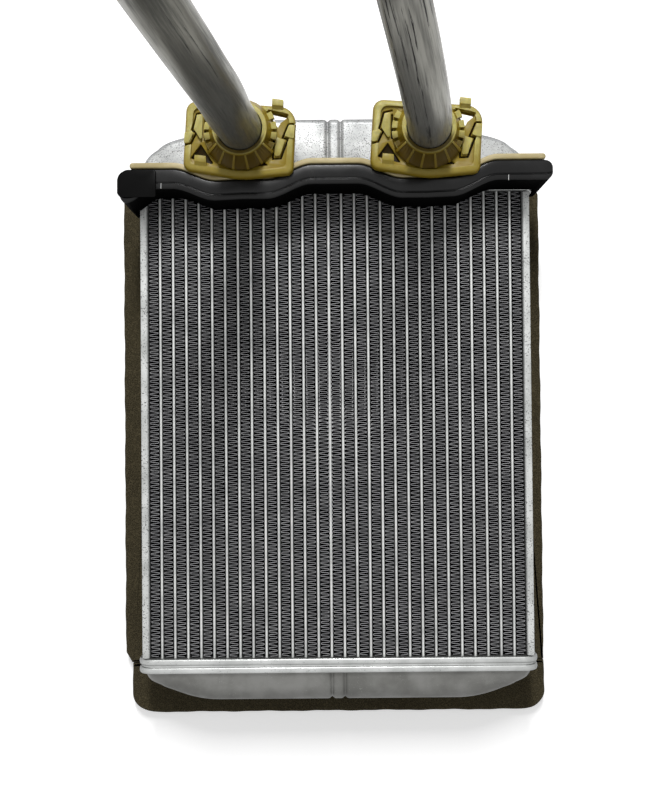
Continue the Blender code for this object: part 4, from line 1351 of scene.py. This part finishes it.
class RetainerClip(Assembly):
    """Moulded clip: frame with two latch fingers, ribbed sleeve, castellations and stops."""

    title = "retainer clip"

    @dataclass(frozen=True)
    class Sizes:
        """Sizes of the clip, from the port's axis."""

        port_x: float = 41.0
        port_y: float = 128.3
        base: float = 65.3
        slot_floor: float = 65.9
        deck: float = 67.7
        top: float = 68.9
        past: float = 1.0
        fan_half_angle: float = 62.0
        rib_step: float = 22.5
        rib_half: float = 2.0
        slot: float = 0.9
        edge: float = 2.0
        edge_steps: int = 6
        steep: float = 1.0
        touch: float = 0.01
        pad_rise: float = 0.5
        pad_sunk: float = 0.6
        pad_corner: float = 0.5
        stop_sunk: float = 1.6
        teeth: int = 4
        tooth_pitch: float = 17.5
        tooth_half: float = 6.0
        soft: float = 0.18
        sides: int = 72

    # Outlines in the plane of the frame: (x, y, radius) from the port's axis.
    OUTLINE = (
        (-25.5, -16.4, 4.2), (0.0, -20.6, 40.0), (22.8, -18.6, 3.4),
        (24.6, 10.9, 7.6), (-23.7, 14.3, 4.6),
    )
    RECESS = (
        (-22.2, -13.6, 2.6), (0.0, -17.5, 38.0), (19.6, -15.6, 2.2),
        (21.6, 8.3, 4.4), (-20.4, 11.2, 3.2),
    )
    WINDOW_BACK = ((12.6, 8.2, 0.4), (20.9, 6.3, 0.6))
    WINDOW_FRONT = ((11.3, 10.3, 0.4), (22.1, 7.7, 0.6))
    WINDOW_POINT = ((17.4, 3.9, 0.8), (16.4, 1.7, 0.5), (15.5, 2.9, 0.5), (14.1, 5.4, 0.8))
    DARK_WINDOWS = (
        ((-22.3, -11.2, 0.5), (-17.6, -4.8, 0.4), (-11.6, -14.2, 0.5)),
        ((6.4, -14.9, 0.3), (12.2, -14.7, 0.3), (9.7, -12.6, 0.3)),
    )
    # Lines of the slots round the latch fingers, and corners of the pads on them.
    LATCHES = (
        (
            (23.5, 3.3), (20.9, 3.3), (18.3, -2.5), (20.7, -3.2),
            (17.5, -11.6), (14.0, -11.8), (14.6, -1.8),
        ),
        ((-15.2, 9.2), (-19.2, 8.4), (-21.3, 1.1), (-19.4, 0.2), (-21.9, -4.9), (-24.4, -5.5)),
        ((-15.5, 7.6), (-15.8, -3.6)),
    )
    PADS = (
        ((-24.4, -0.1), (-20.3, 0.2), (-22.6, -4.6), (-24.8, -4.9)),
        ((21.2, 2.6), (19.2, -2.1), (23.2, -3.4), (23.8, 2.6)),
        ((-18.9, 7.6), (-20.4, 1.4), (-16.9, -4.2), (-16.4, 7.6)),
        ((15.3, -2.5), (19.5, -4.0), (17.1, -10.8), (14.8, -10.9)),
    )
    # Corners, slope of the lower side and height of the stops.
    STOPS = (
        (((13.9, 11.2), (18.7, 10.8), (18.9, 13.3), (14.1, 14.0)), 2.8, 1.7),
        (((-20.2, -13.0), (-15.1, -13.5), (-15.2, -10.8), (-20.0, -10.3)), 3.4, 1.3),
    )
    # (radius, height) outlines of what runs round the port.
    SLEEVE = (
        (9.4, 65.7), (14.3, 65.7), (14.3, 69.2), (12.2, 73.4),
        (12.0, 74.9), (11.8, 75.28), (11.4, 75.4), (9.4, 75.4),
    )
    BORE = ((0.5, 63.3), (9.9, 63.3), (9.9, 77.4), (0.5, 77.4))
    FAN = ((9.4, 68.1), (16.7, 68.1), (16.7, 69.05), (12.1, 74.1), (9.4, 74.1))
    RIB = ((11.5, 68.1), (17.0, 68.1), (17.0, 69.4), (12.4, 74.5), (11.5, 74.5))
    TOOTH = ((13.1, 68.1), (15.9, 68.1), (15.9, 70.3), (13.1, 70.7))

    def shifted(self, points: Iterable[Point]) -> list[Point]:
        """Points about the port's axis, moved to the clip's place."""
        x = self.side.value * self.sizes.port_x
        return [(x + u, self.sizes.port_y + v) for u, v in points]

    def post(self, loop: Iterable[Point], low: float, high: float) -> Shape:
        """Upright solid on an outline about the port's axis."""
        return prism(self.shifted(loop), low, high)

    def ring(self, profile: Sequence[Point]) -> Shape:
        """Ring about the port's axis."""
        centre = DATUM.place(self.side.value * self.sizes.port_x, self.sizes.port_y, 0)
        return turned(profile, centre, self.sizes.sides)

    def sector(self, profile: Sequence[Point], middle: float, half: float, steps: int) -> Shape:
        """Part of a ring about the port's axis.

        Args:
            profile: closed (radius, height) outline.
            middle: angle of its middle, in degrees.
            half: half of its angle, in degrees.
            steps: sides along the ring.

        Returns:
            The solid.
        """
        rings = []
        for step in range(steps + 1):
            angle = math.radians(middle - half + 2 * half * step / steps)
            flat = [(radius * math.cos(angle), radius * math.sin(angle)) for radius, _ in profile]
            spots = zip(self.shifted(flat), profile)
            rings.append([DATUM.place(u, v, level) for (u, v), (_, level) in spots])
        return loft(rings)

    def frame_plate(self, name: str) -> Piece:
        """Frame of the clip, rounded along its front rim."""
        sizes = self.sizes
        shape = self.post(rounded_loop(self.OUTLINE, 7), sizes.base, sizes.top)
        bmesh.ops.recalc_face_normals(shape, faces=shape.faces)
        rim = [
            edge
            for edge in shape.edges
            if min(vert.co.z for vert in edge.verts) > (sizes.top - sizes.touch) * MM
            and edge.calc_face_angle(0) > sizes.steep
        ]
        bmesh.ops.bevel(
            shape, geom=rim, offset=sizes.edge * MM, segments=sizes.edge_steps, profile=0.5,
            affect="EDGES",
        )
        return piece_from(shape, name)

    def openings(self) -> list[Shape]:
        """Solids that cut the windows and the latch slots."""
        sizes = self.sizes
        high = sizes.top + sizes.past
        rings = []
        for bar, level in ((self.WINDOW_BACK, sizes.base - sizes.past), (self.WINDOW_FRONT, high)):
            loop = self.shifted(rounded_loop(bar + self.WINDOW_POINT, 3))
            rings.append([DATUM.place(u, v, level) for u, v in loop])
        loops = [rounded_loop(corners, 3) for corners in self.DARK_WINDOWS]
        loops += [band_loop(line, sizes.slot) for line in self.LATCHES]
        return [loft(rings)] + [self.post(loop, sizes.slot_floor, high) for loop in loops]

    def stops(self) -> list[Shape]:
        """Raised pads, and blocks whose lower sides slope down to the frame."""
        sizes = self.sizes
        found = []
        for corners in self.PADS:
            loop = rounded_loop([(u, v, sizes.pad_corner) for u, v in corners], 2)
            found.append(self.post(loop, sizes.top - sizes.pad_sunk, sizes.top + sizes.pad_rise))
        for corners, slope, rise in self.STOPS:
            spots = self.shifted(corners)
            low = [(u, v - slope) for u, v in spots[:2]] + spots[2:]
            foot = [DATUM.place(u, v, sizes.top - sizes.stop_sunk) for u, v in low]
            found.append(loft([foot, [DATUM.place(u, v, sizes.top + rise) for u, v in spots]]))
        return found

    def teeth(self) -> list[Shape]:
        """Castellations beside the sleeve, on the right and on the left."""
        sizes = self.sizes
        found = []
        for middle in (0.0, 180.0):
            for step in range(sizes.teeth):
                angle = middle + (step - (sizes.teeth - 1) / 2) * sizes.tooth_pitch
                found.append(self.sector(self.TOOTH, angle, sizes.tooth_half, 3))
        return found

    def fan(self) -> list[Shape]:
        """Wide skirt below the pipe and the ribs on it."""
        sizes = self.sizes
        down = -90.0
        found = [self.sector(self.FAN, down, sizes.fan_half_angle, 24)]
        ribs = int(2 * sizes.fan_half_angle / sizes.rib_step)
        for index in range(ribs + 1):
            angle = down + (index - ribs / 2) * sizes.rib_step
            found.append(self.sector(self.RIB, angle, sizes.rib_half, 2))
        return found

    def build(self) -> None:
        """Build the clip."""
        sizes = self.sizes
        side = self.side.name.lower()
        clip = self.frame_plate(f"{side}_clip")
        recess = self.post(rounded_loop(self.RECESS, 5), sizes.deck, sizes.top + sizes.past)
        carve(clip, recess, "DIFFERENCE")
        carve(clip, self.ring(self.SLEEVE), "UNION")
        for tool in self.openings():
            carve(clip, tool, "DIFFERENCE")
        for extra in self.stops() + self.teeth() + self.fan():
            carve(clip, extra, "UNION")
        carve(clip, self.ring(self.BORE), "DIFFERENCE")
        soften(clip, sizes.soft, 2, 40)
        self.keep(clip, self.finishes.clip, Slot.CLIP, f"retainer_clip_{side}")


class RimWall(Assembly):
    """Wavy wall across the ports: black seal with a moulded line, tan carrier above it."""

    title = "rim wall"

    @dataclass(frozen=True)
    class Sizes:
        """Sizes of the rim wall."""

        left_end: float = -95.0
        right_end: float = 96.6
        carrier_left: float = -90.6
        carrier_right: float = 93.4
        leg_inside: float = 92.3
        leg_step: float = 0.02
        base: float = 44.6
        leg_base: float = 28.0
        front: float = 65.0
        level: float = 106.0
        port_x: float = 41.0
        dip: float = 6.4
        dip_half: float = 31.0
        dip_slope: float = 1.55
        left_drop: float = 1.6
        right_drop: float = -1.2
        seal: float = 8.8
        line: float = 2.6
        carrier: float = 2.6
        gap: float = 0.3
        rim_round: float = 0.9
        rim_share: float = 0.3
        end_round: float = 3.8
        end_share: float = 0.45
        end_sink: float = 1.4
        flare_start: float = -80.0
        flare_run: float = 12.0
        flare_drop: float = 6.2
        flap_edge: float = 0.3
        tick_low: float = 64.7
        tick_high: float = 65.03
        sections: int = 128
        round_steps: int = 8
        rim_steps: int = 4

    # (distance from the line, depth) pairs of the moulded line.
    LINE = ((-0.5, 0.02), (-0.12, 0.5), (0.15, 0.55), (0.5, 0.06), (0.9, 0.0))
    # (x, height) section of the strip that laps the seal's left end, and its outline.
    FLAP_SECTION = (
        (-96.1, 46.5), (-95.3, 46.5), (-95.3, 65.3), (-78.8, 65.3), (-78.8, 66.1),
        (-94.5, 66.1), (-95.3, 65.8), (-95.9, 65.2), (-96.1, 64.4),
    )
    FLAP_CORNERS = ((-96.1, 100.6, 3.0), (-78.8, 100.6, 0.8), (-78.8, 112.6, 0.8), (-96.1, 112.6, 5.5))
    FLAP_HEIGHTS = (45.5, 67.1)
    TICKS = ((-76.6, 105.7), (76.7, 108.2))
    TICK_LOOP = ((-0.16, -1.1), (0.16, -1.2), (0.2, 1.2), (-0.1, 1.1))

    @staticmethod
    def eased(share: float) -> float:
        """Smooth step from 0 to 1."""
        held = min(1.0, max(0.0, share))
        return held * held * (3 - 2 * held)

    def wave(self, x: float) -> float:
        """How far the wall hangs down at a place across the core."""
        sizes = self.sizes
        share = (abs(x) - sizes.port_x) / sizes.dip_half
        hollow = sizes.dip * self.eased((1.0 - abs(share)) * sizes.dip_slope)
        drop = sizes.left_drop if x < 0 else sizes.right_drop
        return -hollow - drop * min(1.0, max(0.0, share))

    def flare(self, x: float) -> float:
        """How much wider the seal gets towards its left end."""
        sizes = self.sizes
        return sizes.flare_drop * self.eased((sizes.flare_start - x) / sizes.flare_run)

    def stations(self, left: float, right: float) -> list[float]:
        """Places across the core at which a band has a section."""
        sizes = self.sizes
        width = right - left
        places = {round(left + width * n / sizes.sections, 3) for n in range(sizes.sections + 1)}
        steps = (-sizes.leg_step, sizes.leg_step)
        places |= {hand.value * (sizes.leg_inside + step) for hand in Hand for step in steps}
        for sine, _ in quarter(sizes.round_steps):
            reach = sizes.end_round * (1 - sine)
            places |= {round(left + reach, 3), round(right - reach, 3)}
        return sorted(place for place in places if left <= place <= right)

    def profile(self, low: float, high: float, line: float) -> list[Point]:
        """Front of a band's section.

        Args:
            low: lower edge of the band.
            high: upper edge of the band.
            line: height of the moulded line above the lower edge, or 0 for none.

        Returns:
            (height across the band, depth below the front) pairs, from the lower edge up.
        """
        sizes = self.sizes
        radius = min(sizes.rim_round, (high - low) * sizes.rim_share)
        rim = quarter(sizes.rim_steps)
        pairs = [(low + radius * (1 - cosine), radius * (1 - sine)) for sine, cosine in rim]
        if line:
            pairs += [(low + line + away, depth) for away, depth in self.LINE]
        pairs += [(high - radius * (1 - sine), radius * (1 - cosine)) for sine, cosine in rim]
        return pairs

    def band(self, name: str, span: Band, ends: Band, line: float, legs: bool) -> Piece:
        """Band of the wall.

        Args:
            name: the band's name.
            span: its lower and upper level.
            ends: its left and right end.
            line: height of the moulded line above the lower edge, or 0 for none.
            legs: carry the ends back beside the matrix.

        Returns:
            The band.
        """
        sizes = self.sizes
        low, high = span
        front = self.profile(low, high, line)
        middle = (low + high) / 2
        radius = min(sizes.end_round, (high - low) * sizes.end_share)
        rings = []
        for x in self.stations(*ends):
            near = min(x - ends[0], ends[1] - x)
            lost = self.rounding(near, radius)
            squeeze = 1.0 - 2 * lost / (high - low)
            sink = self.rounding(near, sizes.end_sink)
            base = sizes.leg_base if legs and abs(x) > sizes.leg_inside else sizes.base
            ring = []
            for across, depth in [(low, None), *front, (high, None)]:
                flare = self.flare(x) * (high - across) / (high - low) if legs else 0.0
                y = sizes.level + self.wave(x) + middle + (across - middle) * squeeze - flare
                z = base if depth is None else sizes.front - depth - sink
                ring.append(DATUM.place(x, y, z))
            rings.append(ring)
        return piece_from(loft(rings), name, 48)

    @staticmethod
    def rounding(near: float, radius: float) -> float:
        """How far a round edge has fallen away at a distance from its end."""
        held = min(near, radius)
        return radius - math.sqrt(max(0.0, radius**2 - (radius - held) ** 2))

    def flap(self) -> Piece:
        """Strip that laps the seal's left end, folded round it and rounded in outline."""
        levels = (self.FLAP_CORNERS[0][1], self.FLAP_CORNERS[2][1])
        rings = [[DATUM.place(x, y, z) for x, z in self.FLAP_SECTION] for y in levels]
        flap = piece_from(loft(rings), "end_flap")
        carve(flap, prism(rounded_loop(self.FLAP_CORNERS, 8), *self.FLAP_HEIGHTS), "INTERSECT")
        soften(flap, self.sizes.flap_edge, 3, 50)
        return flap

    def tick_marks(self) -> Piece:
        """Two short pale moulding marks on the seal's front."""
        parts = []
        for x, y in self.TICKS:
            loop = [(x + u, y + v) for u, v in self.TICK_LOOP]
            parts.append(prism(loop, self.sizes.tick_low, self.sizes.tick_high))
        return merged(parts, "moulding_ticks")

    def build(self) -> None:
        """Build the seal, its carrier, its flap and its marks."""
        sizes = self.sizes
        ends = (sizes.left_end, sizes.right_end)
        seal = self.band("wavy_seal", (0.0, sizes.seal), ends, sizes.line, True)
        self.keep(seal, self.finishes.seal, Slot.SEAL, "rim_seal")
        low = sizes.seal + sizes.gap
        ends = (sizes.carrier_left, sizes.carrier_right)
        carrier = self.band("tan_carrier", (low, low + sizes.carrier), ends, 0.0, False)
        self.keep(carrier, self.finishes.carrier, Slot.CARRIER, "seal_carrier")
        self.keep(self.flap(), self.finishes.flap, Slot.SEAL, "seal_end_flap")
        self.keep(self.tick_marks(), self.finishes.tick, Slot.SEAL)


class FoamFrame(Assembly):
    """Soft foam strips glued to the back of the core."""

    title = "foam frame"

    @dataclass(frozen=True)
    class Sizes:
        """Sizes of the foam."""

        thickness: float = 8.0
        inner: float = 84.45
        left: float = 104.35
        right: float = 101.25
        split: float = 116.7
        top_middle: float = 115.7
        top_half: float = 10.0
        side_crown: float = 114.5
        lower_end: float = 141.0
        corner: float = 14.0
        cut_corner: float = 2.0
        nick: float = 0.6
        notch_corner: float = 1.6
        tongue: float = 10.0
        tongue_gap: float = 0.3
        notch: float = 5.2
        joint: float = 0.05
        corner_rise: float = 4.5
        corner_run: float = 8.0
        side_corner: float = 9.0
        edge: float = 1.3
        foot_share: float = 0.4
        step: float = 2.2
        uneven: float = 0.14
        fine_wave: float = 0.6
        waves: tuple[float, float, float] = (0.21, 0.17, 0.55)

    def outlines(self) -> dict[str, list[Point]]:
        """Outline of each strip by the node that it stands for."""
        sizes = self.sizes
        nick, right = sizes.nick, sizes.right
        found = {}
        for node, sign, outer in (("foam_left", -1, sizes.left), ("foam_right", 1, right)):
            corners = [(sign * sizes.inner, -sizes.split, nick), (sign * right, -sizes.split, nick)]
            if outer > right:
                corners.append((sign * outer, sizes.notch - sizes.split, sizes.notch_corner))
            corners.append((sign * outer, sizes.side_crown, sizes.cut_corner))
            corners.append((sign * sizes.inner, sizes.side_crown, nick))
            found[node] = rounded_loop(corners)
        tongue = sizes.inner - sizes.tongue_gap
        high = -sizes.split - sizes.joint
        half = [
            (sizes.corner_run - right, -sizes.lower_end, sizes.corner),
            (-right, sizes.corner_rise - sizes.lower_end, sizes.side_corner),
            (-right, high, nick),
            (-tongue, high, nick),
            (-tongue, high + sizes.tongue, nick),
        ]
        found["foam_bottom"] = rounded_loop(
            half[1::-1] + [(-u, v, radius) for u, v, radius in half] + half[:1:-1], 8
        )
        loop = rounded_box_loop(tongue, sizes.top_half, sizes.cut_corner)
        found["foam_top"] = [(u, v + sizes.top_middle) for u, v in loop]
        return found

    def strip(self, name: str, loop: Sequence[Point], seed: int) -> Piece:
        """Soft slab with a round rim and a slightly uneven outline.

        Args:
            name: the strip's name.
            loop: its outline.
            seed: seed of its unevenness.

        Returns:
            The strip.
        """
        sizes = self.sizes
        points = evenly(loop, sizes.step)
        chance = random.Random(seed)
        a, b, c = (chance.uniform(0, 2 * math.pi) for _ in range(3))
        across, up, fine = sizes.waves
        outward = []
        for index, (u, v) in enumerate(points):
            ahead = Vector(points[(index + 1) % len(points)])
            along = (ahead - Vector(points[index - 1])).normalized()
            wave = math.sin(u * across + a) + math.sin(v * up + b)
            wave += sizes.fine_wave * math.sin((u + v) * fine + c)
            outward.append((Vector((along.y, -along.x)), sizes.uneven * wave))
        foot = sizes.edge * sizes.foot_share
        levels = [(foot, 0.0), (0.0, foot)]
        for sine, cosine in quarter(4):
            levels.append((sizes.edge * (1 - cosine), sizes.thickness - sizes.edge * (1 - sine)))
        rings = []
        for inset, level in levels:
            ring = []
            for point, (normal, wave) in zip(points, outward):
                ring.append(DATUM.place(*(Vector(point) + normal * (wave - inset)), level))
            rings.append(ring)
        return piece_from(loft(rings), name, 60)

    def build(self) -> None:
        """Build the strips."""
        for seed, (node, loop) in enumerate(self.outlines().items()):
            strip = self.strip(f"soft_{node}", loop, seed)
            self.keep(strip, self.finishes.foam, Slot.FOAM, node)

    def dress(self) -> None:
        """Dress the strips."""
        super().dress()


# Studio


@dataclass(frozen=True)
class Lamp:
    """A soft rectangular lamp that points at the middle of the floor, in metres."""

    name: str
    place: tuple[float, float, float]
    size: tuple[float, float]
    power: float

    def hang(self) -> None:
        """Put the lamp in the scene."""
        data = bpy.data.lights.new(self.name, "AREA")
        data.shape = "RECTANGLE"
        data.size, data.size_y = self.size
        data.energy = self.power
        lamp = add_object(self.name, data)
        lamp.location = self.place
        lamp.rotation_euler = (-Vector(self.place)).to_track_quat("-Z", "Y").to_euler()


class Studio:
    """Pale floor, soft lamps and the camera of the photograph."""

    @dataclass(frozen=True)
    class Sizes:
        """Camera and aim in millimetres of the core, floor in metres, angles in degrees."""

        aim: tuple[float, float, float] = (-2.67, 11.1, 41.6)
        distance: float = 480.0
        lens: float = 46.8
        sensor: float = 36.0
        clip: Band = (0.01, 20.0)
        roll: float = 0.5
        pitch: float = 1.05
        floor: float = 14.0
        floor_gap: float = 0.2
        cloud: float = 220.0
        cloud_band: Band = (0.3, 0.7)
        floor_roughness: float = 0.9
        floor_gloss: float = 0.1
        far_band: Band = (0.5, 1.8)
        glow: Band = (0.42, 0.8)
        world: Band = (0.27, 1.0)

    PALE = (0.93, 0.93, 0.93)
    LESS_PALE = (0.91, 0.91, 0.91)
    WHITE = (1.0, 1.0, 1.0)
    LAMPS = (
        Lamp("overhead", (0.0, 0.0, 1.6), (2.4, 2.4), 5.0),
        Lamp("far_side", (-0.04, 0.85, 1.1), (0.14, 0.45), 13.0),
    )

    def __init__(self) -> None:
        """Take the sizes."""
        self.sizes = self.Sizes()

    @staticmethod
    def seen_white(tree: bpy.types.NodeTree) -> Socket:
        """1 for rays that only look at the backdrop: camera, mirror and clear rays."""
        path = tree.nodes.new("ShaderNodeLightPath")
        total = path.outputs["Is Camera Ray"]
        for name in ("Is Glossy Ray", "Is Transmission Ray"):
            node = tree.nodes.new("ShaderNodeMath")
            node.operation = "MAXIMUM"
            tree.links.new(total, node.inputs[0])
            tree.links.new(path.outputs[name], node.inputs[1])
            total = node.outputs[0]
        return total

    def lay_floor(self) -> None:
        """Lay the pale floor, which glows for rays that only look at it."""
        sizes = self.sizes
        shape = bmesh.new()
        bmesh.ops.create_grid(shape, x_segments=8, y_segments=8, size=sizes.floor)
        floor = piece_from(shape, "floor")
        floor.location.z = -sizes.floor_gap * MM
        bench = Bench("pale_floor")
        cloud = bench.ramp(bench.noise(sizes.cloud, 3.0), sizes.cloud_band)
        bench.dress("Base Color", bench.mix(cloud, self.PALE, self.LESS_PALE))
        bench.dress("Roughness", sizes.floor_roughness)
        bench.dress("Specular IOR Level", sizes.floor_gloss)
        bench.dress("Emission Color", self.WHITE)
        away = bench.node("VectorMath", operation="LENGTH")
        bench.plug(away.inputs[0], bench.place)
        far = bench.spread(bench.ramp(away.outputs["Value"], sizes.far_band), sizes.glow)
        bench.dress("Emission Strength", bench.times(self.seen_white(bench.tree), far))
        floor.data.materials.append(bench.material)

    def light(self) -> None:
        """Hang the lamps and fill the world with soft light."""
        world = bpy.data.worlds.new("soft_room")
        bpy.context.scene.world = world
        world.use_nodes = True
        tree = world.node_tree
        background = tree.nodes["Background"]
        background.inputs["Color"].default_value = (*self.WHITE, 1.0)
        strength = tree.nodes.new("ShaderNodeMapRange")
        strength.inputs["To Min"].default_value = self.sizes.world[0]
        strength.inputs["To Max"].default_value = self.sizes.world[1]
        tree.links.new(self.seen_white(tree), strength.inputs["Value"])
        tree.links.new(strength.outputs["Result"], background.inputs["Strength"])
        for lamp in self.LAMPS:
            lamp.hang()

    def set_camera(self) -> None:
        """Set up the camera of the photograph."""
        sizes = self.sizes
        pitch, roll = math.radians(sizes.pitch), math.radians(sizes.roll)
        turn = Matrix.Rotation(-roll, 3, "Z") @ Matrix.Rotation(pitch, 3, "X")
        data = bpy.data.cameras.new("photo_camera")
        data.lens = sizes.lens
        data.sensor_width = sizes.sensor
        data.clip_start, data.clip_end = sizes.clip
        camera = add_object("photo_camera", data)
        camera.rotation_euler = turn.to_euler()
        camera.location = DATUM.place(*sizes.aim) - turn @ Vector((0, 0, -1)) * sizes.distance * MM
        bpy.context.scene.camera = camera
        bpy.context.scene.view_settings.view_transform = "Standard"

    def build(self) -> None:
        """Set up the whole studio."""
        self.lay_floor()
        self.light()
        self.set_camera()


def main() -> None:
    """Build and dress every sub-assembly in order; each reports its pieces."""
    logging.basicConfig(level=logging.INFO, format="%(name)s: %(message)s")
    finishes = Finishes()
    assemblies = [
        FinPack(finishes),
        *(HeaderTray(finishes, end) for end in End),
        *(Tank(finishes, end) for end in End),
        *(PortPipe(finishes, hand) for hand in Hand),
        *(RetainerClip(finishes, hand) for hand in Hand),
        RimWall(finishes),
        FoamFrame(finishes),
    ]
    for assembly in assemblies:
        assembly.build()
        assembly.dress()
    Studio().build()


if __name__ == "__main__":
    main()
